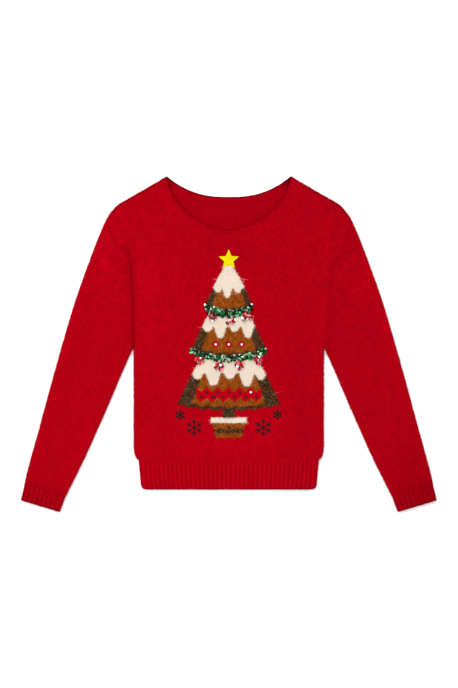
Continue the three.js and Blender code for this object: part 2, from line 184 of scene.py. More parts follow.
def smooth_line(points, count=600):
    """A centripetal curve through the points, sampled at equal distances, and its length."""
    p = np.array([tuple(q) for q in points], float)
    p = np.vstack([2 * p[0] - p[1], p, 2 * p[-1] - p[-2]])
    u = np.linspace(0, 1, 40)[:, None]
    line = []
    for p0, p1, p2, p3 in zip(p[:-3], p[1:-2], p[2:-1], p[3:]):
        a, b, c = (np.linalg.norm(q) ** 0.5 for q in (p1 - p0, p2 - p1, p3 - p2))
        m1 = b * ((p1 - p0) / a - (p2 - p0) / (a + b) + (p2 - p1) / b)
        m2 = b * ((p2 - p1) / b - (p3 - p1) / (b + c) + (p3 - p2) / c)
        cubic = 2 * (p1 - p2) + m1 + m2
        square = -3 * (p1 - p2) - 2 * m1 - m2
        line.append(cubic * u**3 + square * u**2 + m1 * u + p1)
    line = np.vstack(line)
    run = run_along(line)
    return np.stack(places(line, run, np.linspace(0, run[-1], count)), 1), run[-1]


def line_at(line, t):
    """Points of a sampled line at shares t of its length."""
    return places(line, np.linspace(0, 1, len(line)), t)


# Form of the laid garment
rng = np.random.RandomState(7)
wave_angle = rng.uniform(0, math.pi, WAVES)
wave_length = rng.uniform(*WAVE_LENGTHS, WAVES)
wave_phase = rng.uniform(0, 2 * math.pi, WAVES)


def from_crease(x, y, x0, y0, x1, y1):
    """Squared distance from a crease."""
    dx, dy = x1 - x0, y1 - y0
    t = np.clip(((x - x0) * dx + (y - y0) * dy) / (dx * dx + dy * dy), 0, 1)
    return (x - x0 - t * dx) ** 2 + (y - y0 - t * dy) ** 2


def top_height(x, y):
    """Height of the upper face of the upper layer."""
    z = np.full(np.shape(x), LAID_HEIGHT)
    for *ends, width, rise in CREASES:
        z = z + rise * np.exp(-from_crease(x, y, *ends) / width**2)
    on_body = smoothstep(HALF_CHEST - np.abs(x), *BLOUSE_SIDE)
    z = z + on_body * BLOUSE_RISE * bell(y, BLOUSE_Y, BLOUSE_WIDTH)
    swell = np.zeros(np.shape(x))
    for angle, length, phase in zip(wave_angle, wave_length, wave_phase):
        across = x * math.cos(angle) + y * math.sin(angle)
        swell = swell + WAVE_HEIGHT * np.sin(across * 2 * math.pi / length + phase)
    calm = 1 - np.exp(-(x**2 + (y - STAR_Y) ** 2) / STAR_FLAT**2)
    return z + swell * calm


def fold_lift(d):
    """0 on the fold itself, 1 where the cloth is level."""
    return np.sqrt(np.clip(1 - (1 - np.clip(d, 0, FOLD_RADIUS) / FOLD_RADIUS) ** 2, 0, 1))


FOLD_INSETS = FOLD_RADIUS * (1 - np.cos(np.linspace(0, math.pi / 2, FOLD_STEPS + 1)))


def rim_loss(d, radius):
    """How much each face of a wall draws in, at distance d from its end."""
    e = np.clip(d, 0, radius)
    return radius - np.sqrt(np.clip(radius**2 - (radius - e) ** 2, 0, None))


def body_edge(y):
    up = np.clip((y - UNDERARM_Y) / (TIP[1] - UNDERARM_Y), 0, 1)
    down = np.clip((BLOUSE_START - y) / (BLOUSE_START - HEM_SIDE_Y), 0, 1)
    inset = BLOUSE_INSET * (1 - np.sqrt(1 - down**2))
    return HALF_CHEST + (TIP[0] - HALF_CHEST) * up**ARMHOLE_POWER - inset


def hem_join(c):
    return lerp(HEM_MIDDLE_Y, HEM_SIDE_Y, c**2)


def down_arm(y):
    """0 at the top of the armhole, 1 where its valley is whole."""
    return smoothstep((TIP[1] - y) / (TIP[1] - UNDERARM_Y), *ARM_TOP)


def neck_edges(back):
    t = np.linspace(0, 1, 49)
    angle = t * math.pi / 2
    slope = math.atan2(NECK_POINT[1] - TIP[1], TIP[0] - NECK_POINT[0])
    if back:
        x = NECK_POINT[0] * (1 - t)
        y = BACK_NECK_Y + (NECK_POINT[1] - BACK_NECK_Y) * (1 - t) ** BACK_NECK_POWER
        width = lerp(BAND_WIDTH, BACK_BAND_WIDTH, np.sin(angle))
        turn = lerp(slope, math.pi / 2, t**0.5)
    else:
        x = NECK_POINT[0] * np.clip(np.cos(angle), 0, 1) ** (2 / NECK_POWER)
        y = NECK_POINT[1] - (NECK_POINT[1] - FRONT_NECK_Y) * np.sin(angle) ** (2 / NECK_POWER)
        width = BAND_WIDTH
        turn = lerp(slope, math.pi / 2, t)
    free, free_length = smooth_line(np.stack([x, y], 1))
    seam, seam_length = smooth_line(np.stack([x + width * np.cos(turn), y - width * np.sin(turn)], 1))
    return {"free": free, "free_length": free_length, "seam": seam, "seam_length": seam_length}


NECK = {"front": neck_edges(False), "back": neck_edges(True)}
BAND_CORNER = NECK["front"]["seam"][0]
SHOULDER = smooth_line([BAND_CORNER, *SHOULDER_BOW, TIP])[0]

# Painted shade and light on the red yarn, and its mottles
RIB_SHADE = 0.36  # painted shade in the grooves between ribs
CREST_POWER, GROOVE_POWER = 0.8, 1.3  # roundness of the ribs, and how their painted shade gathers in the grooves
INSIDE_SHADE = 0.76  # painted shade on the inside of the back, seen through the neck
UNDER_FRONT_SHADE, UNDER_FRONT_REACH = 0.12, 9.0  # painted shadow on it beside the front's neckline
EDGE_SHADE = 0.62  # painted shade on a free edge
EDGE_REACH = 4.5
FOLD_SHADE = 0.25  # painted shade on a folded side, which turns away from the light
TOP_SHADE = 0.52  # painted shade along the shoulders' folded edge
TOP_LINE = (2.3, 1.5)  # its distance from the edge, and its half width
TOP_LINE_END = 40.0  # length over which it fades down the sleeve
ARM_SHADE = 0.33  # painted shade in the left armhole's valley
ARM_SHADE_REACH = (6.0, 4.0)  # over the sleeve and over the body
ARM_LINES = ((11.0, 6.0, 0.05), (-3.0, 5.0, -0.03), (1.0, 2.2, -0.14))  # painted shade (positive loss) and painted light (negative) beside the right armhole: place, width, loss
ARM_END = 14.0  # how far below the underarm both end
BAND_SIDE = (0.2, 0.6)  # shares from the middle of the neck band between which its rim's painted highlight turns to painted shade
RIM_LIGHT, RIM_REACH = (0.45, -0.10), 1.8  # painted highlight on the rim in the middle and painted shade at the sides, and their reach
# painted shade on the front band's lip
LIP_SHADE, LIP_REACH = 0.19, 7.0
BAND_GROOVE, INNER_GROOVE = 0.24, 0.3  # strength of the painted shade in the rib grooves in front, and inside the back
# painted shade along the back band's free edge, inside the neck
INNER_RIM_SHADE, INNER_RIM_REACH = 0.66, 3.1
BAND_CORNERS = ((0, 0.65, 0.085), (1, 0.46, 0.075))  # painted shade in the corners inside the neck: share across, loss, width
BAND_PAINTED_LIGHT = (0.05, 0.15, 0.07)  # painted light beside them: gain, share across, width
# painted shade over the cuffs and their nap
CUFF_PAINTED_SHADE = 0.90
PAINTED_LIGHT_PATCHES = (
    # patches of painted light and shade on the upper layer: place, half width, half height, change
    (0, 0, 2000, 2000, -0.04),
    (15, -135, 95, 110, 0.08),
    (0, 205, 85, 60, -0.08),
    (-135, 290, 60, 60, -0.05),
    (135, 290, 60, 60, -0.05),
    (-168, 70, 26, 90, 0.05),
    (-225, 90, 35, 150, 0.05),
    (170, -60, 35, 200, -0.03),
    (-400, -310, 90, 80, -0.08),
    (410, -310, 110, 110, -0.16),
    (122, -33, 28, 60, -0.055),
    (150, -210, 45, 90, -0.045),
    (-157, 112, 26, 40, 0.05),
    (-237, 207, 22, 40, 0.02),
    (246, 207, 26, 45, -0.09),
    (203, 268, 34, 20, -0.08),
    (-277, -190, 22, 40, 0.05),
    (-357, -177, 22, 40, -0.04),
    (282, -129, 22, 40, -0.05),
    (276, 130, 18, 70, 0.085),
    (142, 127, 55, 60, -0.04),
    (-197, 195, 16, 22, -0.07),
    (82, 255, 16, 16, -0.05),
    (278, 10, 20, 40, -0.05),
    (362, -205, 24, 50, -0.05),
    (122, -160, 25, 60, -0.02),
    (-197, 60, 12, 60, 0.03),
    (325, -5, 20, 80, 0.08),
)
MOTTLE = (9.0, 6.0)  # spacing of the mottles, across and along
MOTTLES = 160  # of them each way, before they repeat
MOTTLE_CHEST, MOTTLE_CAP = 0.026, 0.062  # their strength on the upper body and on the sleeve caps
MOTTLE_ARM = (165, 205)  # distances from the middle between which the one turns into the other
MOTTLE_FROM = (30, 120)  # Y between which they set in
mottles = np.random.RandomState(17).normal(0, 1, (MOTTLES, MOTTLES))


def mottle(x, y):
    """Small soft blotches of the brushed yarn, strongest round the armholes."""
    u, v = x / MOTTLE[0] + MOTTLES / 2, y / MOTTLE[1] + MOTTLES / 2
    i, j = np.floor(u).astype(int), np.floor(v).astype(int)
    s, t = smoothstep(u - i, 0, 1), smoothstep(v - j, 0, 1)
    i, j, right, above = (q % MOTTLES for q in (i, j, i + 1, j + 1))
    low, high = (lerp(mottles[i, k], mottles[right, k], s) for k in (j, above))
    strength = lerp(MOTTLE_CHEST, MOTTLE_CAP, smoothstep(np.abs(x), *MOTTLE_ARM))
    return strength * smoothstep(y, *MOTTLE_FROM) * lerp(low, high, t)


def painted_fold_shade(distance):
    """Painted shade beside the shoulder's fold."""
    return 1 - TOP_SHADE * bell(distance, *TOP_LINE)


def mottle_and_painted_light_at(x, y):
    """Tone of the upper layer's yarn: its mottles, with painted light and shade in patches, painted shade in
    the creases, and painted shade and light beside the armholes.
    """
    tone = 1 + mottle(x, y)
    # Patches of painted light and shade.
    for cx, cy, wide, tall, change in PAINTED_LIGHT_PATCHES:
        tone = tone * (1 + change * bell(x, cx, wide) * bell(y, cy, tall))
    # Painted shade in the troughs of the creases.
    for *ends, width, rise in CREASES:
        if rise < 0:
            trough = np.exp(-from_crease(x, y, *ends) / (CREASE_CORE * width) ** 2)
            tone = tone * (1 + CREASE_PAINTED_SHADE * rise * trough)
    # Painted shade in the left armhole's valley; painted shade and light beside the right one.
    beyond = np.abs(x) - body_edge(y)
    left = ARM_SHADE * np.exp(-np.abs(beyond) / np.where(beyond > 0, *ARM_SHADE_REACH))
    right = sum(loss * bell(beyond, place, width) for place, width, loss in ARM_LINES)
    down = down_arm(y) * smoothstep(y, UNDERARM_Y - ARM_END, UNDERARM_Y)
    return tone * (1 - np.where(x < 0, left, right) * down)


def distance_to_line(x, y, line):
    away = np.full(np.shape(x), FAR)
    for px, py in line[::6]:
        away = np.minimum(away, (np.abs(x) - px) ** 2 + (y - py) ** 2)
    return np.sqrt(away)


# Mesh building
def placed(name, data):
    """An object for the data, linked to the scene."""
    made = bpy.data.objects.new(name, data)
    bpy.context.scene.collection.objects.link(made)
    return made


def new_object(name, points, faces, material, loops_uv=None, tint=None, shade=None, smooth=True):
    """A mesh object from arrays in millimetres. tint is a colour for each point, and shade a tone for each
    point that holds painted shade and light with the yarn's mottles.
    """
    mesh = bpy.data.meshes.new(name)
    mesh.from_pydata((points * MM).tolist(), [], faces.tolist())
    if loops_uv is not None:
        layer = mesh.uv_layers.new(name="cloth")
        layer.data.foreach_set("uv", (loops_uv * MM).astype(np.float32).ravel())
    if tint is not None:
        colours = mesh.color_attributes.new("tint", "FLOAT_COLOR", "POINT")
        colours.data.foreach_set("color", tint.astype(np.float32).ravel())
    if shade is not None:
        tones = mesh.attributes.new("shade", "FLOAT", "POINT")
        tones.data.foreach_set("value", shade.astype(np.float32).ravel())
    mesh.materials.append(material)
    mesh.polygons.foreach_set("use_smooth", np.full(len(faces), smooth))
    mesh.update()
    made = placed(name, mesh)
    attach(made, "root")
    return made


def turned_over(corners):
    """The corners of a face, the other way round."""
    return corners[:1] + corners[:0:-1]


def thin_shell(name, p, out, lose, uv, closed, turn, material, relief=0.0, inner_relief=0.0, tint=None,
               shade=1.0, inner_shade=INSIDE_SHADE):
    """A closed wall over a grid p of outer places. lose draws both faces in, relief raises the outer one."""
    rows, columns = p.shape[:2]
    outer = p + out * (relief - lose)[..., None]
    inner = p - out * (WALL - lose - inner_relief)[..., None]
    points = np.vstack([outer.reshape(-1, 3), inner.reshape(-1, 3)])
    spans = columns if closed else columns - 1
    # Each corner of a face is a row, a step along it, and 0 for the outer or 1 for the inner layer.
    i, j = (q.ravel() for q in np.meshgrid(np.arange(rows - 1), np.arange(spans), indexing="ij"))
    face = [(i, j, 0), (i, j + 1, 0), (i + 1, j + 1, 0), (i + 1, j, 0)]
    parts = [face, [(r, s, 1) for r, s, _ in turned_over(face)]]
    e, r = np.arange(spans), np.arange(rows - 1)
    for row in (0, rows - 1):
        end = [(row, e, 0), (row, e + 1, 0), (row, e + 1, 1), (row, e, 1)]
        parts.append(end if row else turned_over(end))
    for column in () if closed else (0, columns - 1):
        end = [(r, column, 0), (r + 1, column, 0), (r + 1, column, 1), (r, column, 1)]
        parts.append(turned_over(end) if column else end)
    grids = []
    for part in parts:
        row, step = (np.stack([c[k] + 0 * c[1 - k] for c in part], 1) for k in (0, 1))
        grids.append((row * columns + step % columns + [c[2] * rows * columns for c in part], row, step))
    faces, cells, steps = (np.vstack(q)[:, ::turn] for q in zip(*grids))
    loops_uv = uv[cells.ravel(), steps.ravel()]
    if tint is not None:
        tint = np.vstack([tint.reshape(-1, 4)] * 2)
    shade = np.concatenate([(np.ones((rows, columns)) * s).ravel() for s in (shade, inner_shade)])
    return new_object(name, points, faces, material, loops_uv, tint, shade)


def level_steps(low, high, spacing=GRID):
    return np.linspace(low, high, max(2, int(round((high - low) / spacing)) + 1))


def rise_steps(low, high):
    """Places from a folded end to another, crowded at both."""
    inside = level_steps(low + FOLD_RADIUS, high - FOLD_RADIUS)[1:-1]
    return np.r_[low + FOLD_INSETS, inside, (high - FOLD_INSETS)[::-1]]


def sunk(distance, depth, reach):
    """How far the cloth sinks at a distance from a seam."""
    return depth * np.clip(1 - distance / reach, 0, 1) ** 2


def tube_lengths(total, rim_rows, first, last, spacing=GRID):
    """Places along a tube, crowded at both of its rims."""
    rim = FOLD_INSETS[:rim_rows]
    return np.r_[rim, level_steps(first, total - last, spacing), (total - rim)[::-1]]


# Body panels
def body_panel(name, side, material, tint_at=None):
    edges = NECK[side]
    front = side == "front"
    sign = 1.0 if front else -1.0
    length = TIP[1] - HEM_SIDE_Y
    rim_rows = HEM_SIDE_Y + FOLD_INSETS[:4]
    row_y = np.r_[rim_rows, level_steps(HEM_SIDE_Y + 3, UNDERARM_Y)[:-1], rise_steps(UNDERARM_Y, TIP[1])]
    neck_c = NECK_SHARE * (1 - FOLD_INSETS / edges["seam_length"])
    middle_c = level_steps(0, neck_c[-1], NECK_SHARE * GRID / edges["seam_length"])[:-1]
    side_c = 1 - FOLD_INSETS / HALF_CHEST
    shoulder_c = level_steps(NECK_SHARE, side_c[-1], GRID / HALF_CHEST)[1:-1]
    half = np.r_[middle_c, neck_c[::-1], shoulder_c, side_c[::-1]]
    c = np.r_[-half[:0:-1], half] + 0 * row_y[:, None]
    row_y = row_y[:, None] + 0 * c
    v = (row_y - HEM_SIDE_Y) / length
    share = np.abs(c)
    flip = np.sign(c)

    neck_x, neck_y = line_at(edges["seam"], np.clip(1 - share / NECK_SHARE, 0, 1))
    bow_x, bow_y = line_at(SHOULDER, np.clip((share - NECK_SHARE) / (1 - NECK_SHARE), 0, 1))
    in_neck = share <= NECK_SHARE + 1e-9
    high_x = np.where(in_neck, neck_x, bow_x) * np.where(c < 0, -1, 1)
    low_half = body_edge(np.array(HEM_SIDE_Y))
    x = lerp(low_half * c, high_x, v)
    y = lerp(hem_join(c), np.where(in_neck, neck_y, bow_y), v)
    x = x + flip * share**SIDE_PULL * (body_edge(row_y) - lerp(low_half, TIP[0], v))

    from_side = (1 - share) * HALF_CHEST
    up_arm = row_y - UNDERARM_Y
    side_lift = np.maximum(fold_lift(from_side), fold_lift(np.clip(up_arm, 0, None)))
    from_top = TIP[1] - row_y
    from_corner = (1 - share / NECK_SHARE) * edges["seam_length"]
    top_lift = fold_lift(from_top)
    top_lift = np.where(in_neck, np.maximum(top_lift, fold_lift(from_corner)), top_lift)
    lift = np.minimum(side_lift, top_lift)

    from_arm = np.where(up_arm > 0, from_side, FAR)
    from_neck = distance_to_line(x, y, edges["seam"])
    from_hem = v * length
    on_seam = (from_side < 1e-6) & (up_arm > -1e-6)
    x = np.where(on_seam, x - flip * SEAM_GAP / 2, x)
    y = np.where(from_hem < 1e-6, y + SEAM_GAP / 2, y)
    dip = sunk(np.minimum(from_neck, from_hem), SEAM_DIP, SEAM_REACH)
    for half_sign, (depth, arm_reach, _, _) in ARM_DIPS.items():
        dip = dip + np.where(flip == half_sign, sunk(from_arm, depth, arm_reach) * down_arm(y), 0.0)
    level = top_height(x, y) - dip if front else np.zeros_like(x)
    z = lerp(LAID_HEIGHT / 2 + sign * LAYER_GAP / 2, level, lift)

    turned = np.sqrt(np.clip(1 - lift**2, 0, 1))
    at_top = (from_top < FOLD_RADIUS + 1e-6) & (up_arm > 0)
    out_x = np.where(at_top, np.where(in_neck, NECK_FACING[0], TOP_FACING[0]), 1.0) * flip
    out_y = np.where(at_top, np.where(in_neck, NECK_FACING[1], TOP_FACING[1]), 0.0)
    out = np.stack([out_x * turned, out_y * turned, sign * lift], 2)
    arm_rim = np.where(flip < 0, ARM_RIM[-1], ARM_RIM[1])
    lose = np.maximum(rim_loss(np.minimum(from_neck, from_hem), SEAM_RIM), rim_loss(from_arm, arm_rim))
    lose = np.where(lift < 0.98, 0.0, lose)
    # Painted shade inside the back, and a painted shadow beside the front's neckline.
    under_front = np.exp(-distance_to_line(x, y, NECK["front"]["free"]) / UNDER_FRONT_REACH)
    inner_shade = INSIDE_SHADE * (1 - UNDER_FRONT_SHADE * under_front)
    # Painted light and shade over the front, and painted shade on its folded sides and along the shoulders.
    shade = mottle_and_painted_light_at(x, y) * (1 - FOLD_SHADE * (1 - lift)) if front else np.ones_like(x)
    shade = shade * np.where(in_neck, 1.0, painted_fold_shade(from_top))
    return thin_shell(
        name, np.stack([x, y, z], 2), out, lose, np.stack([x, y], 2), False, int(sign), material,
        tint=tint_at(x, y) if tint_at else None, shade=shade, inner_shade=inner_shade)


# Flattened tubes
def flat_tube(name, plan, total, lengths, widths, material, shares, seams, free, relief, shades, mirror=1,
              inner=None, dips=None, inner_shades=None, edge_shade=EDGE_SHADE):
    """plan(side, v, f) gives places in plan; v runs along the tube and f across it. shares are the values of
    f in the upper and in the lower layer, seams and free the lengths at which the tube meets another piece or
    ends. relief, shades, inner, dips and inner_shades are functions of v, f and length."""
    f = np.r_[shares[0], shares[1][::-1][1:-1]]
    upper = np.arange(len(f)) < len(shares[0])
    along = lengths[:, None] + 0 * f
    vv, ff = along / total, f + 0 * along
    top = upper + np.zeros_like(vv, bool)
    x, y = np.where(top, *(plan(side, vv, ff) for side in ("front", "back")))
    width = np.broadcast_to(widths, len(lengths))[:, None] + 0 * ff
    lift = fold_lift(np.minimum(ff, 1 - ff) * width)
    from_seam = np.min([np.abs(along - s) for s in seams], 0)
    from_free = np.min([np.abs(along - s) for s in free], 0) if free else np.full_like(along, FAR)
    dip = dips(vv, ff, along) if dips else sunk(from_seam, SEAM_DIP, SEAM_REACH)
    level = np.where(top, top_height(x * mirror, y) - dip, 0.0)
    z = lerp(LAID_HEIGHT / 2, level, lift)
    # At a fold the wall turns along the section, towards its nearer end.
    near = np.where(ff < 0.5, 0.0, 1.0)
    inside = np.where(ff < 0.5, SECTION_STEP, 1 - SECTION_STEP)
    heads = [np.subtract(plan(side, vv, near), plan(side, vv, inside)) for side in ("front", "back")]
    hx, hy = np.where(top, *heads)
    turned = np.sqrt(np.clip(1 - lift**2, 0, 1)) / (np.hypot(hx, hy) + 1e-9)
    out = np.stack([hx * turned * mirror, hy * turned, np.where(top, 1.0, -1.0) * lift], 2)
    lose = np.maximum(rim_loss(from_seam, SEAM_RIM), rim_loss(from_free, FREE_RIM))
    raised = relief(vv, ff, along) * np.where(top, lift, 0.0)
    inner_raised = inner(vv, ff, along) * np.where(top, 0.0, lift) if inner else np.zeros_like(raised)
    # Painted shade and light: the piece's own shades, patches, creases and armholes, darker free edges and
    # folds, and painted shade inside.
    shade = np.where(top, shades(vv, ff, along), 1.0) * mottle_and_painted_light_at(x * mirror, y)
    shade = shade * (1 - edge_shade * np.clip(1 - from_free / EDGE_REACH, 0, 1))
    shade = shade * (1 - FOLD_SHADE * (1 - lift))
    inner_shade = np.where(top, shade, inner_shades(vv, ff, along)) if inner_shades else INSIDE_SHADE
    p = np.stack([x * mirror, y, z], 2)
    around = np.where(top, (ff - 0.5) * width, (1.5 - ff) * width)
    around = np.c_[around, around[:, :1] + 2 * width[:, :1]]
    uv = np.stack([around, lengths[:, None] + 0 * around], 2)
    turn = turn_of(p, f, upper)
    return thin_shell(name, p, out, lose, uv, True, turn, material, raised, inner_raised,
                      shade=shade, inner_shade=inner_shade)


def turn_of(p, f, upper):
    """Which way round the grid's faces look out: 1 or -1."""
    i, j = p.shape[0] // 2, int(np.argmin(np.abs(f - 0.5) + ~upper))
    across = p[i, j + 1] - p[i, j]
    along = p[i + 1, j] - p[i, j]
    return 1 if np.cross(across, along)[2] > 0 else -1


def crest(place):
    """1 on the rounded crest of a rib, 0 in the groove beside it; place counts ribs."""
    return np.abs(np.cos(math.pi * place)) ** CREST_POWER


# Painted shade in the grooves between ribs.
def groove_shade(place, blend):
    return 1 - RIB_SHADE * (1 - crest(place)) ** GROOVE_POWER * blend


# Sleeves
SLEEVE_EDGE = {"outer": smooth_line(SLEEVE_OUTER), "inner": smooth_line(SLEEVE_INNER)}


def sleeve_plan(side, v, f):
    ox, oy = line_at(SLEEVE_EDGE["outer"][0], v)
    ix, iy = line_at(SLEEVE_EDGE["inner"][0], lerp(v, v * v, SLEEVE_FAN))
    seam_x = body_edge(lerp(TIP[1], UNDERARM_Y, f))
    bulge = (seam_x - lerp(TIP[0], HALF_CHEST, f)) * (1 - v) ** 2
    gap = np.where(v < 1e-9, SEAM_GAP / 2, 0.0)
    return lerp(ox, ix, f) + bulge + gap, lerp(oy, iy, f)


def sleeve(name, mirror, material):
    total = SLEEVE_EDGE["outer"][1]
    lengths = tube_lengths(total, 4, 3, 3)
    ends = [np.array(sleeve_plan("front", lengths / total, end + 0 * lengths)) for end in (0, 1)]
    widths = np.hypot(*(ends[0] - ends[1]))
    widths[0] = TIP[1] - UNDERARM_Y
    shares = rise_steps(0, SLEEVE_MEAN) / SLEEVE_MEAN
    depth, reach = ARM_DIPS[mirror][2:]

    def dips(v, f, along):
        at_arm = sunk(along, depth, reach) * smoothstep(f, *ARM_TOP)
        return at_arm + sunk(total - along, SEAM_DIP, SEAM_REACH)

    def near_cuff(along):
        return smoothstep(along, total - RIB_FADE, total)

    def relief(v, f, along):
        return SLEEVE_RIBS * CUFF_RELIEF * crest(cuff_rib(f)) * near_cuff(along)

    # Painted shade near the cuff, in its ribs, and along the shoulder's fold near the armhole.
    def shades(v, f, along):
        near = near_cuff(along)
        ribs = groove_shade(cuff_rib(f), SLEEVE_RIBS * near) * lerp(1, CUFF_PAINTED_SHADE, near)
        return ribs * lerp(1, painted_fold_shade(f * SLEEVE_MEAN), np.exp(-along / TOP_LINE_END))

    return flat_tube(name, sleeve_plan, total, lengths, widths, material, (shares, shares), (0, total), (),
                     relief, shades, mirror, dips=dips)


# Cuffs
CUFF_LENGTH = float(np.linalg.norm(CUFF_END[0] - CUFF_TOP[0]))
CUFF_WIDTH = float(np.linalg.norm(CUFF_TOP[0] - CUFF_TOP[1]))


def cuff_plan(side, v, f):
    start = SEAM_GAP / CUFF_LENGTH
    t = start + v * (1 - start)
    outer, inner = ([lerp(top[k], end[k], t) for k in (0, 1)] for top, end in zip(CUFF_TOP, CUFF_END))
    return lerp(outer[0], inner[0], f), lerp(outer[1], inner[1], f)


def rib_shares(ribs, width, parts=8):
    """Shares across a ribbed layer: the fold, then a whole number of ribs in equal parts."""
    level = np.linspace(FOLD_RADIUS, width - FOLD_RADIUS, ribs * parts + 1)
    return np.r_[FOLD_INSETS[:-1], level, (width - FOLD_INSETS[:-1])[::-1]] / width


def rib_place(f, width, ribs):
    return (f * width - FOLD_RADIUS) / (width - 2 * FOLD_RADIUS) * ribs + 0.5


def cuff_rib(f):
    return rib_place(f, CUFF_WIDTH, CUFF_RIBS)


def cuff(name, mirror, material):
    lengths = tube_lengths(CUFF_LENGTH, 5, 3, 4, 3)
    shares = rib_shares(CUFF_RIBS, CUFF_WIDTH), rise_steps(0, CUFF_WIDTH) / CUFF_WIDTH

    def relief(v, f, along):
        return CUFF_RELIEF * crest(cuff_rib(f)) * smoothstep(along, *CUFF_RISE)

    # Painted shade over the cuff, and in its rib grooves.
    def shades(v, f, along):
        return CUFF_PAINTED_SHADE * groove_shade(cuff_rib(f), smoothstep(along, *CUFF_DARKEN))

    return flat_tube(name, cuff_plan, CUFF_LENGTH, lengths, CUFF_WIDTH, material, shares, (0,),
                     (CUFF_LENGTH,), relief, shades, mirror)


# Hem rib
HEM_HEIGHT = HEM_SIDE_Y - HEM_END_Y


def hem_plan(side, v, f):
    corner = HEM_CORNER / HEM_HEIGHT
    into = np.clip(v - (1 - corner), 0, None) / corner
    half = lerp(HEM_TOP, HEM_BOTTOM, v) - HEM_CORNER * (1 - np.sqrt(np.clip(1 - into**2, 0, 1)))
    c = 1 - 2 * f
    return half * c, lerp(hem_join(c) - SEAM_GAP / 2, HEM_END_Y, v)


def hem_rib(name, material):
    round_corner = HEM_HEIGHT - HEM_CORNER * (1 - np.sin(np.linspace(0, math.pi / 2, 7)))
    rim = HEM_HEIGHT - FOLD_INSETS[:5]
    body = level_steps(3, HEM_HEIGHT - HEM_CORNER, 5)[:-1]
    lengths = np.unique(np.r_[FOLD_INSETS[:4], body, round_corner, rim].round(3))
    width = 2 * HEM_TOP
    shares = rib_shares(HEM_RIBS, width), rise_steps(0, width) / width

    def relief(v, f, along):
        return HEM_RELIEF * (crest(rib_place(f, width, HEM_RIBS)) - HEM_LEVEL) * smoothstep(along, *HEM_RISE)

    # Painted shade in the grooves between the hem's ribs.
    def shades(v, f, along):
        return groove_shade(rib_place(f, width, HEM_RIBS), smoothstep(along, *HEM_DARKEN))

    return flat_tube(name, hem_plan, HEM_HEIGHT, lengths, width, material, shares, (0,), (HEM_HEIGHT,),
                     relief, shades)


# Neck band
def band_plan(side, v, f):
    t = 1 - np.abs(1 - 2 * f)
    free_x, free_y = line_at(NECK[side]["free"], t)
    seam_x, seam_y = line_at(NECK[side]["seam"], t)
    clear = 1 - SEAM_GAP / np.hypot(seam_x - free_x, seam_y - free_y)
    k = v * clear
    return lerp(free_x, seam_x, k) * np.where(f <= 0.5, 1, -1), lerp(free_y, seam_y, k)


def neck_band(name, material):
    width = 2 * NECK["front"]["free_length"]
    shares = rib_shares(BAND_RIBS, width), rib_shares(BAND_RIBS, width, 4)
    lengths = tube_lengths(BAND_WIDTH, 5, 4, 4, 3)

    def ribs(f):
        return rib_place(f, width, BAND_RIBS)

    def fading(v):
        return 1 - smoothstep(v, 0.5, 1.0)

    def relief(v, f, along):
        return BAND_RELIEF * crest(ribs(f)) * fading(v)

    def inner(v, f, along):
        return INNER_RELIEF * crest(ribs(f) + 0.5) * fading(v)

    def dips(v, f, along):
        return sunk(along, NECK_CURL, NECK_CURL_REACH)

    # Painted shade and light on the front band: rib grooves, lip, rim, and the ends beside the shoulders.
    def shades(v, f, along):
        at_side = smoothstep(np.abs(2 * f - 1), *BAND_SIDE)
        rim = 1 + lerp(*RIM_LIGHT, at_side) * bell(along, 0, RIM_REACH)
        lip = (1 - LIP_SHADE * bell(along, 0, LIP_REACH)) * rim
        side = painted_fold_shade(np.minimum(f, 1 - f) * width)
        return groove_shade(ribs(f), BAND_GROOVE * fading(v)) * lip * side

    # Painted shade and light inside the back: rib grooves, free edge, corners, and light beside them.
    def inner_shades(v, f, along):
        edge = 1 - INNER_RIM_SHADE * bell(along, 0, INNER_RIM_REACH)
        corner = 1 - sum(shade * bell(f, at, reach) for at, shade, reach in BAND_CORNERS)
        glow = 1 + BAND_PAINTED_LIGHT[0] * bell(np.minimum(f, 1 - f), *BAND_PAINTED_LIGHT[1:])
        return INSIDE_SHADE * groove_shade(ribs(f) + 0.5, INNER_GROOVE * fading(v)) * edge * corner * glow

    return flat_tube(name, band_plan, BAND_WIDTH, lengths, width, material, shares, (BAND_WIDTH,), (0,),
                     relief, shades, inner=inner, dips=dips, inner_shades=inner_shades, edge_shade=0.0)


# Materials
RED = (0.316, 0.0002, 0.0054, 1.0)
NO_GREEN = (1.0, 0.0, 0.03, 1.0)
WHITE = (1.0, 1.0, 1.0, 1.0)
BLACK = (0.0, 0.0, 0.0, 1.0)
FELT_TONES = ((0.46, 0.402, 0.0022, 1.0), (0.575, 0.515, 0.0035, 1.0))
FELT_PILE = (0.365, 0.31, 0.0018, 1.0)
STITCH_SLANT = 1.5  # how steeply the two legs of a stitch stand
LEG_ROUND, ROW_ROUND = 3.6, 1.5  # roundness of a leg across and along
STITCH_TONE, STITCH_BUMP = 0.16, 0.45  # strength of the stitches in the colour and in the relief
NOISES = (
    # blotches of brushed yarn: repeats in a metre across and along, detail, roughness, strength in the colour
    (800, 340, 3.0, 0.65, 0.30),
    (340, 230, 1.0, 0.5, 0.40),
    (250, 60, 2.0, 0.6, 0.24),
    (80, 52, 3.0, 0.6, 0.32),
    (15, 10, 2.0, 0.5, 0.14),
)
NOISE_BUMPS = ((0, 0.75), (3, 0.9))  # which of them are in the relief too, and their strength there


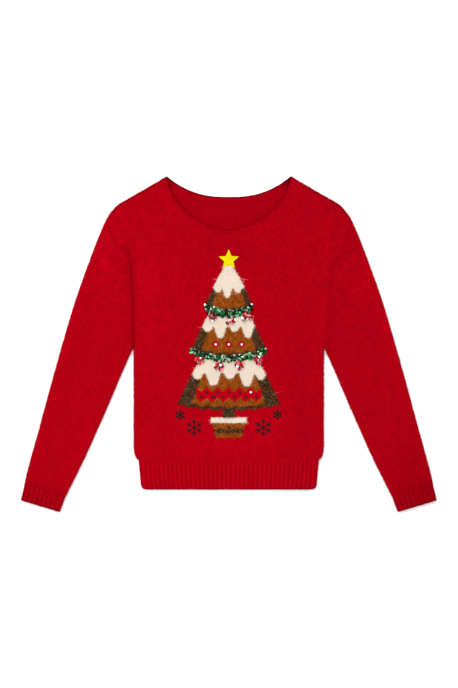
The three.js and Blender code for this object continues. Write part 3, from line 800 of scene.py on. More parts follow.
class Nodes:
    """Short calls for a node tree of one material."""

    def __init__(self, name):
        self.material = bpy.data.materials.new(name)
        self.material.use_nodes = True
        self.tree = self.material.node_tree
        self.shader = self.tree.nodes["Principled BSDF"]

    def add(self, kind, **values):
        node = self.tree.nodes.new(kind)
        for key, value in values.items():
            setattr(node, key, value)
        return node

    def feed(self, value, socket):
        """Sets a constant on the socket itself, and links anything else to it."""
        if isinstance(value, (int, float, tuple)):
            socket.default_value = value
        else:
            self.tree.links.new(value, socket)

    def fed(self, kind, inputs, output=0, **values):
        """The output of a new node whose inputs are given by number or name."""
        node = self.add(kind, **values)
        for key, value in inputs.items():
            self.feed(value, node.inputs[key])
        return node.outputs[output]

    def math(self, operation, *values):
        return self.fed("ShaderNodeMath", dict(enumerate(values)), operation=operation)

    def total(self, start, values, weights):
        for value, weight in zip(values, weights):
            start = self.math("ADD", self.math("MULTIPLY", value, weight), start)
        return start

    def times(self, place, scale):
        return self.fed("ShaderNodeVectorMath", {0: place, 1: scale}, operation="MULTIPLY")

    def cloth(self, x, y):
        """Cloth coordinates in metres times x and y."""
        return self.times(self.add("ShaderNodeUVMap", uv_map="cloth").outputs[0], (x, y, 0.0))

    def object_place(self, x, y, z):
        return self.times(self.add("ShaderNodeTexCoord").outputs["Object"], (x, y, z))

    def carried(self, name):
        """Outputs for what the mesh carries under the name."""
        return self.add("ShaderNodeAttribute", attribute_name=name).outputs

    def noise(self, vector, detail, roughness):
        inputs = {"Vector": vector, "Scale": 1.0, "Detail": detail, "Roughness": roughness}
        return self.fed("ShaderNodeTexNoise", inputs)

    def mix(self, factor, a, b):
        return self.fed("ShaderNodeMix", {0: factor, 6: a, 7: b}, 2, data_type="RGBA")

    def scaled(self, colour, tone):
        return self.fed("ShaderNodeVectorMath", {0: colour, "Scale": tone}, operation="SCALE")

    def ramp(self, value, low, high):
        return self.fed("ShaderNodeMapRange", {0: value, 1: low, 2: high}, clamp=True)

    def paint(self, colour):
        self.feed(colour, self.shader.inputs["Base Color"])

    def bump(self, height, strength, distance):
        inputs = {"Height": height, "Strength": strength, "Distance": distance}
        self.feed(self.fed("ShaderNodeBump", inputs), self.shader.inputs["Normal"])

    def finish(self, roughness=0.95, specular=0.0, metallic=0.0, sheen=0.0, tint=None):
        s = self.shader.inputs
        s["Roughness"].default_value = roughness
        s["Specular IOR Level"].default_value = specular
        s["Metallic"].default_value = metallic
        s["Sheen Weight"].default_value = sheen
        if tint:
            s["Sheen Tint"].default_value = tint
        return self.material


def knit_height(n, wide):
    """Height of rows of V stitches, from 0 to 1, in cloth coordinates."""
    parts = n.add("ShaderNodeSeparateXYZ")
    n.feed(n.cloth(1 / (wide * MM), 1 / (STITCH_H * MM)), parts.inputs[0])
    wale, course = parts.outputs[0], parts.outputs[1]
    off = n.math("ABSOLUTE", n.math("SUBTRACT", n.math("FRACT", wale), 0.5))
    slanted = n.math("SUBTRACT", course, n.math("MULTIPLY", off, STITCH_SLANT))
    row = n.math("ABSOLUTE", n.math("SUBTRACT", n.math("FRACT", slanted), 0.5))
    leg = n.math("ABSOLUTE", n.math("SUBTRACT", off, 0.25))
    leg_round = n.math("SUBTRACT", 1.0, n.math("MULTIPLY", leg, LEG_ROUND))
    row_round = n.math("SUBTRACT", 1.0, n.math("MULTIPLY", row, ROW_ROUND))
    return n.math("MULTIPLY", leg_round, row_round)


def red_knit(name, wide=STITCH_W, depth=1.0, motif=False):
    """Brushed red yarn: soft stitches under a nap, with mottles and streaks along the wales, times the
    painted shade and light that the mesh carries.
    """
    n = Nodes(name)
    stitches = knit_height(n, wide)
    noises = [n.noise(n.cloth(across, along), detail, rough) for across, along, detail, rough, _ in NOISES]
    layers = [n.math("SUBTRACT", layer, 0.5) for layer in (stitches, *noises)]
    tone = n.total(1.0, layers, [STITCH_TONE * depth, *(row[-1] for row in NOISES)])
    # The mesh's shade: painted shade and light, with the yarn's mottles.
    colour = n.scaled(RED[:3], n.math("MULTIPLY", tone, n.carried("shade")["Fac"]))
    if motif:
        tint = n.carried("tint")
        colour = n.mix(tint["Alpha"], colour, tint["Color"])
    n.paint(colour)
    layers = [stitches, *(noises[k] for k, _ in NOISE_BUMPS)]
    height = n.total(0.0, layers, [STITCH_BUMP * depth, *(weight for _, weight in NOISE_BUMPS)])
    n.bump(height, 0.7, 0.0011)
    return n.finish(sheen=0.10, tint=NO_GREEN)


def yarn(name, sheen_tint, speckle=0.7, sheen=0.12):
    """Fluffy yarn whose colour is carried by the mesh, fibre by fibre."""
    n = Nodes(name)
    fibre = n.noise(n.object_place(700, 420, 700), 3.0, 0.7)
    tone = n.total(1.0, [n.math("SUBTRACT", fibre, 0.5)], [speckle])
    n.paint(n.scaled(n.carried("tint")["Color"], tone))
    n.bump(fibre, 0.5, 0.0006)
    return n.finish(sheen=sheen, tint=sheen_tint)


def felt():
    n = Nodes("yellow_felt_fibres")
    fibre = n.noise(n.object_place(700, 700, 700), 4.0, 0.7)
    pile = n.noise(n.object_place(160, 160, 160), 2.0, 0.6)
    tone = n.mix(n.ramp(fibre, 0.3, 0.7), *FELT_TONES)
    n.paint(n.mix(n.math("MULTIPLY", n.ramp(pile, 0.6, 0.35), 0.3), tone, FELT_PILE))
    n.bump(fibre, 0.4, 0.0005)
    return n.finish(roughness=0.9, sheen=0.05, tint=(1.0, 0.9, 0.0, 1.0))


def tinted(name, roughness, metallic, specular=0.5):
    """Takes its colour from the mesh, piece by piece, with fine scratches in its gloss."""
    n = Nodes(name)
    grain = n.noise(n.object_place(1400, 1400, 1400), 2.0, 0.6)
    n.paint(n.mix(n.math("MULTIPLY", grain, 0.25), n.carried("tint")["Color"], BLACK))
    n.bump(grain, 0.15, 0.0002)
    return n.finish(roughness, specular, metallic)


# The knitted picture: a snowy tree of three tiers in a pot
CREAM, CARAMEL, TAUPE, GROUND = 1, 2, 3, 4
TIERS = (
    # tip, hem, half width, lowest snow between the drips, pitch of the scallops,
    # and the drips: x, lowest point, half width
    (40.0, -128.0, 106.0, -57.0, 27.0,
     ((-62, -70, 10), (-31, -82, 12), (2, -69, 10), (36, -84, 12), (64, -71, 10))),
    (110.0, -20.0, 78.0, 36.0, 24.0, ((-42, 25, 9), (-17, 12, 10), (12, 25, 9), (38, 13, 10))),
    (158.0, 68.0, 50.0, 112.0, 20.0, ((-22, 103, 7), (-3, 93, 8), (18, 102, 7))),
)
TIER_TIP, TIER_BOW = 0.07, 0.8  # share of the half width at the tip, and the power of its growth
TIER_SAG = 12.0  # how much higher a tier's hem is at its ends
SCALLOP_DEPTH, SCALLOP_POWER = 4.5, 0.6
BORDER = 6.0  # dark yarn along the hem of each tier
FLANK = 0.72  # share of the half width beyond which the yarn is dark
POT_TOP, POT_RIM, POT_BASE = -148.0, -157.0, -186.0
POT_HALF, POT_NECK, POT_FOOT, TRUNK_HALF = 36.0, 33.0, 25.0, 11.0
POT_STRIPE_Y, POT_STRIPE_HALF = -174.0, 3.6
TRUNK_TOP = -116.0
BAND_LOW, BAND_HIGH, BAND_HALF, ZIGZAG, ZIGZAG_PITCH = -113.0, -89.0, 66.0, 5.0, 22.0
DIAMOND_Y, DIAMOND_HALF, DIAMOND_PITCH = -1.0, 10.0, 26.0
FLAKES = ((-69, -167, 19), (69, -167, 19), (-97, -142, 11), (97, -141, 11))  # sewn ones: place and size
PICTURE_BOX = (-112, 112, -190, 160)


def picture_code(x, y):
    """Which yarn each place is knitted in, 0 outside the picture."""
    code = np.zeros(np.shape(x), int)
    off = np.abs(x)
    code[(off < TRUNK_HALF) & (y < TRUNK_TOP) & (y > POT_TOP)] = TAUPE
    pot_half = lerp(POT_FOOT, POT_NECK, np.clip((y - POT_BASE) / (POT_RIM - POT_BASE), 0, 1))
    pot = (off < pot_half) & (y <= POT_RIM) & (y > POT_BASE)
    code[pot] = CARAMEL
    code[pot & (np.abs(y - POT_STRIPE_Y) < POT_STRIPE_HALF)] = TAUPE
    code[(off < POT_HALF) & (y <= POT_TOP) & (y > POT_RIM)] = CREAM
    for k, (tip, foot, widest, snow_y, pitch, drips) in enumerate(TIERS):
        t = (tip - y) / (tip - foot)
        half = widest * lerp(TIER_TIP, 1, np.clip(t, 0, 1) ** TIER_BOW)
        scallops = SCALLOP_DEPTH * np.abs(np.cos(math.pi * x / pitch)) ** SCALLOP_POWER
        hem = foot + TIER_SAG * (x / widest) ** 2 - scallops
        body = np.where((off > FLANK * half) | (y < hem + BORDER), TAUPE, CARAMEL)
        snow = np.full(np.shape(x), snow_y)
        for at, low, wide in drips:
            snow = np.minimum(snow, lerp(snow_y, low, np.exp(-(((x - at) / wide) ** 4))))
        if k == 0:
            fold = ZIGZAG * (np.abs((x / ZIGZAG_PITCH) % 1 - 0.5) * 4 - 1)
            body[(y < BAND_HIGH + fold) & (y > BAND_LOW + fold) & (off < BAND_HALF)] = GROUND
        if k == 1:
            near = np.abs((x / DIAMOND_PITCH + 0.5) % 1 - 0.5) * DIAMOND_PITCH
            body[(near + np.abs(y - DIAMOND_Y) < DIAMOND_HALF) & (off < 1.6 * DIAMOND_PITCH)] = GROUND
        inside = (off < half) & (t > 0) & (y > hem)
        code = np.where(inside, np.where(y > snow, CREAM, body), code)
    return code


def in_picture(x, y):
    """Those of the places that lie on the picture's own yarns, and the yarn of each."""
    code = picture_code(x, y)
    keep = (code > 0) & (code != GROUND)
    return x[keep], y[keep], code[keep]


YARNS = {
    # colour, change of tone from fibre to fibre, share of lighter fibres and their colour
    0: (RED[:3], 0.16, 0.0, RED[:3]),
    CREAM: ((0.66, 0.565, 0.465), 0.045, 0.0, (0.66, 0.565, 0.465)),
    CARAMEL: ((0.205, 0.0435, 0.0020), 0.30, 0.07, (0.42, 0.145, 0.045)),
    TAUPE: ((0.041, 0.0170, 0.0062), 0.28, 0.08, (0.21, 0.13, 0.07)),
    GROUND: (RED[:3], 0.16, 0.0, RED[:3]),
}
PATCH = (5.2, 2.3)  # stitches this close share a part of their tone
PATCHES = 256
SHARED_TONE, OWN_TONE = 0.75, 0.8  # weight of the shared part and of a stitch's own
patches = np.random.RandomState(5).normal(0, 1, (PATCHES, PATCHES))


def picture_tint(x, y):
    """The colour that the front's own yarn has under the picture, with alpha 0 outside it."""
    code = picture_code(x, y)
    tint = np.zeros((*np.shape(x), 4))
    for key, (colour, *_) in YARNS.items():
        if key:
            tint[code == key] = (*colour, 1.0)
    return tint


def yarn_tints(code, draw, x=None, y=None):
    """A colour for each stitch or fibre of the yarns in code. With x and y, near ones are alike."""
    tint = np.ones((len(code), 4))
    shared = np.zeros(len(code))
    if x is not None:
        i, j = ((q // pitch).astype(int) % PATCHES for q, pitch in zip((x, y), PATCH))
        shared = patches[i, j]
    for key, (colour, spread, light_share, light) in YARNS.items():
        here = np.flatnonzero(code == key)
        own = draw.normal(0, OWN_TONE, len(here))
        change = np.exp(spread * (SHARED_TONE * shared[here] + own))
        tint[here, :3] = np.array(colour) * change[:, None]
        tint[here[draw.uniform(0, 1, len(here)) < light_share], :3] = light
    return np.clip(tint, 0, 1)


# Small closed bodies
SPINDLE_RINGS = ((0.25, 0.85), (0.68, 1.0))  # share of the length, share of the girth


def copies(faces, count, size):
    """The faces of one body of size points, for count bodies in a row."""
    return (np.array(faces)[None] + (np.arange(count) * size)[:, None, None]).reshape(-1, 3)


def round_faces(rings, sides):
    """Triangles round a body whose points are a pole, rings of sides points each, and a pole."""
    faces = []
    last = 1 + (rings - 1) * sides
    for k in range(sides):
        n = (k + 1) % sides
        faces += [(0, 1 + n, 1 + k), (last + k, last + n, last + sides)]
        for a in range(1, last, sides):
            b = a + sides
            faces += [(a + k, a + n, b + n), (a + k, b + n, b + k)]
    return faces


def spindles(name, starts, ends, thick, high, material, tint, sides=6):
    """Spindles from starts to ends, thick across and high upwards, of one colour or of one each."""
    axis = ends - starts
    across = unit(np.cross(axis, UP))
    lift = unit(np.cross(across, axis))
    thick, high = (np.broadcast_to(q, len(starts))[:, None] for q in (thick, high))
    points = [starts]
    for share, girth in SPINDLE_RINGS:
        for a in 2 * math.pi * (np.arange(sides) + 0.5) / sides:
            outwards = across * thick * math.cos(a) + lift * high * math.sin(a)
            points.append(starts + axis * share + girth * outwards)
    points = np.stack([*points, ends], 1)
    size = points.shape[1]
    faces = copies(round_faces(len(SPINDLE_RINGS), sides), len(starts), size)
    tints = np.repeat(np.broadcast_to(tint, (len(starts), 4)), size, 0)
    return new_object(name, points.reshape(-1, 3), faces, material, tint=tints)


# Stitches of the picture
LEG_LENGTH = 1.6 * PICTURE_STITCH[1]
LEG_THICK = 0.29 * PICTURE_STITCH[0]
LEG_HIGH = 0.95
LEG_ENDS = (
    # from the middle of a stitch to both ends of a leg: out, along and up
    (0.25, -0.45 * LEG_LENGTH, 0.25),
    (0.45 * PICTURE_STITCH[0], 0.55 * LEG_LENGTH, 0.45),
)
LEG_JITTER = 0.2
JITTER_UP = 0.4  # share of the jitter that goes upwards


def picture_stitches(material):
    """Two legs of a V for each stitch of the picture, in the yarn of its place."""
    x0, x1, y0, y1 = PICTURE_BOX
    grid = np.meshgrid(np.arange(x0, x1, PICTURE_STITCH[0]), np.arange(y0, y1, PICTURE_STITCH[1]))
    x, y, code = in_picture(*(q.ravel() for q in grid))
    base = top_height(x, y)
    draw = np.random.RandomState(11)
    legs = []
    for sign in (-1, 1):
        jitter = draw.normal(0, LEG_JITTER, (6, len(x)))
        ends = []
        for k, (out, along, up) in enumerate(LEG_ENDS):
            px, py = x + sign * out + jitter[2 * k], y + along + jitter[2 * k + 1]
            ends.append(np.stack([px, py, base + up + JITTER_UP * jitter[4 + k]], 1))
        thick = LEG_THICK * draw.uniform(0.9, 1.2, len(x))
        high = LEG_HIGH * draw.uniform(0.75, 1.1, len(x))
        legs.append((*ends, thick, high, yarn_tints(code, draw, x, y)))
    starts, ends, thick, high, tint = (np.concatenate(q) for q in zip(*legs))
    return spindles("picture_stitches", starts, ends, thick, high, material, tint, 4)


# Nap: short fibres that stand out of the yarn
FIBRE_BEND = (0.5, 0.42)  # where a fibre bends: share of its length and of its rise
FIBRE_TIP = 0.55  # share of the rise at its tip
FIBRE_TAPER = 0.8  # share of its width left at the bend
FIBRE_LOWEST = 0.02
ROOT_LOOK = -0.3  # faces that look down more than this have no fibres
# Nap: least height, depth of the roots, rise, spread of the headings in radians
NAP_LOWEST, NAP_SINK, NAP_RISE, NAP_SPREAD = 5.0, 0.1, 0.4, 0.9
NAP_LENGTHS, NAP_WIDTHS = (2.5, 7.0), (0.2, 0.5)
NAP_LIVELY = (40, 130)  # Y from which its tones differ more, and from which they differ most
# Fuzz: least height, most that its faces look up, rise, spread
FUZZ_LOWEST, FUZZ_LOOK, FUZZ_RISE, FUZZ_SPREAD = 1.0, 0.75, 0.15, 0.55
FUZZ_SHORTEST = 0.35  # share of the longest
FUZZ_WIDTHS = (0.16, 0.36)
FUZZ_FLAT = [1, 1, 0.4]  # its headings keep this much of X, Y and Z
# Fur: fibres tried, height of the roots, rise, spread
FUR_COUNT, FUR_LIFT, FUR_RISE, FUR_SPREAD = 64000, 0.8, 0.3, 1.25
FUR_LENGTHS, FUR_WIDTHS = (2.0, 6.0), (0.22, 0.5)
FUR_EDGE = 5.0  # how close to the picture's edge fibres may be longer
FUR_LONGER, FUR_LONGER_SHARE = 1.6, 0.25  # how much longer, and how many of them
FUR_LONGEST, FUR_LONGEST_SHARE = (11, 21), 0.03


def fibres(name, root, normal, heading, length, width, material, tint, rise):
    """Bent ribbons of three triangles, from root towards heading and up along normal."""
    half = unit(np.cross(normal, heading)) * (width / 2)[:, None]
    ahead = heading * length[:, None]
    upwards = normal * (length * rise)[:, None]
    bend = root + ahead * FIBRE_BEND[0] + upwards * FIBRE_BEND[1]
    tip = root + ahead + upwards * FIBRE_TIP
    narrow = half * FIBRE_TAPER
    points = np.stack([root - half, root + half, bend + narrow, bend - narrow, tip], 1).reshape(-1, 3)
    points[:, 2] = np.maximum(points[:, 2], FIBRE_LOWEST)
    faces = copies([[0, 1, 2], [0, 2, 3], [3, 2, 4]], len(root), 5)
    return new_object(name, points, faces, material, tint=np.repeat(tint, 5, 0), smooth=False)


def surface_roots(source, count, seed, least_z, most_up=math.inf):
    """Random places on a piece's faces, their normals and the draw, without faces that look up more."""
    mesh = source.data
    mesh.calc_loop_triangles()
    co = np.zeros(len(mesh.vertices) * 3, np.float32)
    mesh.vertices.foreach_get("co", co)
    tri = np.zeros(len(mesh.loop_triangles) * 3, np.int32)
    mesh.loop_triangles.foreach_get("vertices", tri)
    corner = (co.reshape(-1, 3) / MM)[tri.reshape(-1, 3)]
    cross = np.cross(corner[:, 1] - corner[:, 0], corner[:, 2] - corner[:, 0])
    area = np.linalg.norm(cross, axis=1)
    normal = cross / (area[:, None] + 1e-12)
    look = (normal[:, 2] > ROOT_LOOK) & (np.abs(normal[:, 2]) < most_up)
    weight = area * (look & (corner.mean(1)[:, 2] > least_z))
    draw = np.random.RandomState(seed)
    pick = draw.choice(len(corner), count, p=weight / weight.sum())
    a, b = draw.uniform(0, 1, (2, count))
    over = a + b > 1
    a, b = (np.where(over, 1 - q, q)[:, None] for q in (a, b))
    c = corner[pick]
    root = c[:, 0] + a * (c[:, 1] - c[:, 0]) + b * (c[:, 2] - c[:, 0])
    return root, normal[pick], draw


def tangent_headings(normal, draw, lay, spread):
    """Headings in the surface round the direction lay, in radians from +X, give or take spread."""
    angle = lay + draw.normal(0, spread, len(normal))
    flat = np.stack([np.cos(angle), np.sin(angle), np.zeros(len(normal))], 1)
    return unit(flat - normal * np.sum(flat * normal, 1)[:, None])


def nap_on(source, count, seed, lay, material, off_picture=False, tone=1.0):
    root, normal, draw = surface_roots(source, count, seed, NAP_LOWEST)
    if off_picture:
        clear = picture_code(root[:, 0], root[:, 1]) == 0
        for cx, cy, size in FLAKES:
            clear &= np.hypot(root[:, 0] - cx, root[:, 1] - cy) > size + 2
        root, normal = root[clear], normal[clear]
        count = len(root)
    heading = tangent_headings(normal, draw, lay, NAP_SPREAD)
    length, width = (draw.uniform(*q, count) for q in (NAP_LENGTHS, NAP_WIDTHS))
    lively = 1 + smoothstep(root[:, 1], *NAP_LIVELY)[:, None]
    tint = yarn_tints(np.zeros(count, int), draw)
    tint[:, :3] = RED[:3] * (tint[:, :3] / RED[:3]) ** lively
    # The fibres take the painted shade and light of the cloth under them, times tone, a painted shade.
    tint[:, :3] *= tone * mottle_and_painted_light_at(root[:, 0], root[:, 1])[:, None]
    root = root - normal * NAP_SINK
    return fibres(f"{source.name}_nap", root, normal, heading, length, width, material, tint, NAP_RISE)


def edge_fuzz(source, count, seed, material, longest=3.6, tone=0.85):
    """Fibres that stand out sideways round the folded sides, which soften the outline."""
    root, normal, draw = surface_roots(source, count, seed, FUZZ_LOWEST, FUZZ_LOOK)
    out = unit((normal + draw.normal(0, FUZZ_SPREAD, normal.shape)) * FUZZ_FLAT)
    length = draw.uniform(FUZZ_SHORTEST * longest, longest, count)
    upward = UP + 0.01 * draw.normal(0, 1, (count, 3))
    width = draw.uniform(*FUZZ_WIDTHS, count)
    # tone is a painted shade of the fuzz along the edges.
    tint = yarn_tints(np.zeros(count, int), draw) * tone
    return fibres(f"{source.name}_fuzz", root, upward, out, length, width, material, tint, FUZZ_RISE)


def picture_fur(material):
    """Longer fibres of the picture's fluffy yarn, some of them over its edges."""
    x0, x1, y0, y1 = PICTURE_BOX
    draw = np.random.RandomState(23)
    x, y = draw.uniform(x0, x1, FUR_COUNT), draw.uniform(y0, y1, FUR_COUNT)
    x, y, code = in_picture(x, y)
    count = len(x)
    root = np.stack([x, y, top_height(x, y) + FUR_LIFT], 1)
    normal = np.tile(UP, (count, 1))
    heading = tangent_headings(normal, draw, DOWN, FUR_SPREAD)
    length = draw.uniform(*FUR_LENGTHS, count)
    at_edge = picture_code(x + heading[:, 0] * FUR_EDGE, y + heading[:, 1] * FUR_EDGE) == 0
    chance = draw.uniform(0, 1, count)
    length = np.where(at_edge & (chance < FUR_LONGER_SHARE), length * FUR_LONGER, length)
    length = np.where(at_edge & (chance < FUR_LONGEST_SHARE), draw.uniform(*FUR_LONGEST, count), length)
    width = draw.uniform(*FUR_WIDTHS, count)
    tint = yarn_tints(code, draw, x, y)
    return fibres("picture_fur", root, normal, heading, length, width, material, tint, FUR_RISE)


# Sequins and beads
SEQUIN_RADIUS = 2.5
SEQUIN_SIDES = 8
SEQUIN_DISH = 0.12  # depth of its hollow, as a share of the radius
SEQUIN_THICK = 0.25
SEQUIN_TILT = 0.7
GARLANDS = (
    # from x, to x, height at the ends, sag, thickness, sequins
    (-47.0, 47.0, 74.0, 13.0, 17.0, 300),
    (-76.0, 76.0, -13.0, 17.0, 13.0, 330),
)
GARLAND_LIFTS = (2.0, 4.2)
GARLAND_THIN = 0.55  # share of the thickness between its tufts
GARLAND_TUFTS = 7
BAUBLES = (
    (-32.0, 54.0), (3.0, 47.0), (35.0, 53.0),
    (-58.0, -33.0), (-20.0, -44.0), (22.0, -43.0), (60.0, -32.0),
)
BAUBLE_RADIUS = 9.0
BAUBLE_LIFTS = (4.0, 5.6)
BAUBLE_SEQUINS = 26
GREEN_FOIL_AND_REFLECTIONS = (
    # colours of the garlands' sequins: green foil, darker and lighter with painted reflections, up to pale
    # painted glints
    (0.010, 0.006, 0.002), (0.002, 0.018, 0.005), (0.005, 0.09, 0.02), (0.03, 0.34, 0.1), (0.5, 0.72, 0.5),
)
GREEN_SHARES = (0.26, 0.26, 0.18, 0.16, 0.14)
# Colours of the baubles' sequins: red foil, darker and lighter with painted reflections, and pale painted
# glints.
RED_FOIL_AND_REFLECTIONS = ((0.10, 0.0, 0.006), (0.42, 0.004, 0.02), (0.75, 0.05, 0.06), (0.85, 0.72, 0.70))
RED_SHARES = (0.2, 0.38, 0.2, 0.22)
BEAD_RINGS, BEAD_SIDES, BEAD_RADIUS = 4, 8, 2.6
BEAD_SILVER, BEAD_BLACK = (0.9, 0.9, 0.92, 1.0), (0.004, 0.004, 0.005, 1.0)
SINGLE_BEADS = [(-18, -170, 0), (0, -167, 0), (18, -170, 0), (-30, -105, 0), (33, -106, 0)]


def discs(name, centre, normal, tint, material):
    """Small round plates, slightly dished, with a colour each."""
    a = unit(np.cross(normal, [0.3, 0.5, 0.81]))
    b = np.cross(normal, a)
    hub = centre - normal * SEQUIN_RADIUS * SEQUIN_DISH
    turns = 2 * math.pi * np.arange(SEQUIN_SIDES) / SEQUIN_SIDES
    rim = [centre + SEQUIN_RADIUS * (a * math.cos(t) + b * math.sin(t)) for t in turns]
    below = [p - normal * SEQUIN_THICK for p in (*rim, hub)]
    points = np.stack([hub, *rim, *below], 1)
    size = points.shape[1]
    faces = copies(round_faces(2, SEQUIN_SIDES), len(centre), size)[:, ::-1]
    colours = np.repeat(np.c_[tint, np.ones(len(centre))], size, 0)
    return new_object(name, points.reshape(-1, 3), faces, material, tint=colours, smooth=False)


def sequins(material):
    draw = np.random.RandomState(31)
    rows = []

    def strew(x, y, lifts, colours, shares):
        lift = draw.uniform(*lifts, len(x))
        rows.append((x, y, lift, np.array(colours)[draw.choice(len(colours), len(x), p=shares)]))

    for x0, x1, y_end, sag, thick, count in GARLANDS:
        t = draw.uniform(0, 1, count)
        bow = 4 * t * (1 - t)
        spread = thick / 2 * lerp(GARLAND_THIN, 1, np.abs(np.sin(t * math.pi * GARLAND_TUFTS)))
        y = y_end - sag * bow + draw.uniform(-1, 1, count) * spread
        strew(lerp(x0, x1, t) + draw.normal(0, 1, count), y, GARLAND_LIFTS, GREEN_FOIL_AND_REFLECTIONS, GREEN_SHARES)
    for bx, by in BAUBLES:
        r = BAUBLE_RADIUS * np.sqrt(draw.uniform(0, 1, BAUBLE_SEQUINS))
        a = draw.uniform(0, 2 * math.pi, BAUBLE_SEQUINS)
        strew(bx + r * np.cos(a), by + r * np.sin(a), BAUBLE_LIFTS, RED_FOIL_AND_REFLECTIONS, RED_SHARES)
    x, y, lift, tone = (np.concatenate(q) for q in zip(*rows))
    centre = np.stack([x, y, top_height(x, y) + lift], 1)
    tone = np.clip(tone * draw.uniform(0.75, 1.2, len(x))[:, None], 0, 1)
    tilted = unit(UP + draw.uniform(-SEQUIN_TILT, SEQUIN_TILT, (len(x), 3)) * [1, 1, 0])
    return discs("sequins", centre, tilted, tone, material)


def beads(material):
    """Faceted round beads, sewn on the picture's red band and diamonds."""
    middle, swing = (BAND_LOW + BAND_HIGH) / 2, 0.9 * ZIGZAG
    spots = [(k * ZIGZAG_PITCH / 2, middle + (-swing if k % 2 else swing), k == 4) for k in range(-5, 6)]
    spots += [(k * DIAMOND_PITCH, DIAMOND_Y, 1) for k in (-1, 0, 1)]
    x, y, silver = np.array(spots + SINGLE_BEADS, float).T
    ball = [(0, 0, -1)]
    for ring in range(1, BEAD_RINGS + 1):
        polar = math.pi * ring / (BEAD_RINGS + 1)
        for a in 2 * math.pi * (np.arange(BEAD_SIDES) + 0.5 * ring) / BEAD_SIDES:
            ball.append((math.sin(polar) * math.cos(a), math.sin(polar) * math.sin(a), -math.cos(polar)))
    ball.append((0, 0, 1))
    centre = np.stack([x, y, top_height(x, y) + BEAD_RADIUS], 1)
    points = (centre[:, None] + BEAD_RADIUS * np.array(ball)).reshape(-1, 3)
    faces = copies(round_faces(BEAD_RINGS, BEAD_SIDES), len(x), len(ball))
    tint = np.where(silver[:, None] > 0, BEAD_SILVER, BEAD_BLACK)
    return new_object("beads", points, faces, material, tint=np.repeat(tint, len(ball), 0))


# Thread and seams
THREAD_BLACK = (0.003, 0.002, 0.002, 1.0)
THREAD_YELLOW = (0.75, 0.58, 0.01, 1.0)
THREAD_STITCH, THREAD_OVERLAP = 4.5, 0.8
THREAD_LIFT = 0.7
FLAKE_TURN = 0.85  # angle between an arm of a flake and its twigs
FLAKE_TWIG = 0.36  # length of a twig, as a share of the flake's size
STAR_OUTER, STAR_INNER, STAR_POINTS = 21.0, 9.2, 5
STAR_INSET = 1.6
SEAM_PITCH = 3.0
SEAM_SINK = 0.85
LOOP_PITCH, LOOP_RUN, LOOP_SLANT = 2.5, 2.9, 0.5  # the neck's linking loops: pitch, run along, run across
LOOP_LIFT = 0.35
LOOP_END = 3.4  # length without loops at the end of the row
LOOP_CORNER = 30  # samples of the seam left free at the neck's corners


def thread_line(points):
    """Both ends of each stitch of thread along a line in plan."""
    run = run_along(points)
    begin = np.arange(0, run[-1] - THREAD_STITCH / 2, THREAD_STITCH - THREAD_OVERLAP)
    end = np.minimum(begin + THREAD_STITCH, run[-1])
    return [np.stack(places(points, run, at), 1) for at in (begin, end)]


def embroidery(material):
    """Black sewn flakes beside the pot."""
    lines = []
    for *middle, size in FLAKES:
        for arm in range(6):
            angle = math.pi / 6 + arm * math.pi / 3
            tip = middle + size * np.array([math.cos(angle), math.sin(angle)])
            lines.append([middle, tip])
            half = lerp(np.array(middle), tip, 0.5)
            for turn in (angle - FLAKE_TURN, angle + FLAKE_TURN):
                twig = size * FLAKE_TWIG * np.array([math.cos(turn), math.sin(turn)])
                lines.append([half, half + twig])
    ends = (np.vstack(q) for q in zip(*(thread_line(np.array(line)) for line in lines)))
    starts, ends = (np.c_[q, top_height(q[:, 0], q[:, 1]) + THREAD_LIFT] for q in ends)
    return spindles("black_embroidery", starts, ends, 1.4, 1.0, material, THREAD_BLACK)


def star_stitches(material):
    """Small slanted stitches that hold the star, across its edge."""
    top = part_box("felt_star")[1].z / MM
    corner = np.arange(2 * STAR_POINTS + 1)
    angle = math.pi / 2 + corner * math.pi / STAR_POINTS
    radius = np.where(corner % 2, STAR_INNER, STAR_OUTER) - STAR_INSET
    ring = np.stack([radius * np.cos(angle), radius * np.sin(angle)], 1)
    at = np.array([lerp(p, q, t) for p, q in zip(ring[:-1], ring[1:]) for t in (0.12, 0.38, 0.64, 0.9)])
    out = unit(at)
    at = at + [0, STAR_Y]
    sides = ((-1.1, top - 0.1), (1.0, top - 0.05))
    starts, ends = (np.c_[at + out * reach, np.full(len(at), z)] for reach, z in sides)
    return spindles("star_stitches", starts, ends, 0.4, 0.35, material, THREAD_YELLOW)


def seam_stitches(material):
    """The linked stitches that close each seam of the upper layer, sunk in its valley."""
    starts, ends = [], []

    def close(points, reach, mirror=(1, -1), dips=None):
        run = run_along(points)
        at = np.arange(SEAM_PITCH, run[-1] - SEAM_PITCH, SEAM_PITCH)
        x, y = places(points, run, at)
        dx, dy = np.subtract(places(points, run, at + 0.5), places(points, run, at - 0.5))
        size = np.hypot(dx, dy)
        nx, ny = reach * dy / size, -reach * dx / size
        for m in mirror:
            z = top_height(x * m, y) - (dips[m][0] if dips else SEAM_DIP) - SEAM_SINK
            starts.append(np.stack([(x - nx) * m, y - ny, z], 1))
            ends.append(np.stack([(x + nx) * m, y + ny, z], 1))

    y = np.linspace(UNDERARM_Y + FOLD_RADIUS, TIP[1] - FOLD_RADIUS, 120)
    close(np.stack([body_edge(y), y], 1), 1.9, dips=ARM_DIPS)
    close(NECK["front"]["seam"][8:], 1.7)
    c = np.linspace(-0.96, 0.96, 100)
    close(np.stack([HEM_TOP * c, hem_join(c)], 1), 1.9, mirror=(1,))
    close(lerp(CUFF_TOP[0], CUFF_TOP[1], np.linspace(0.06, 0.94, 30)[:, None]), 1.8)
    return spindles("seam_stitches", np.vstack(starts), np.vstack(ends), 0.85, 0.8, material, RED)


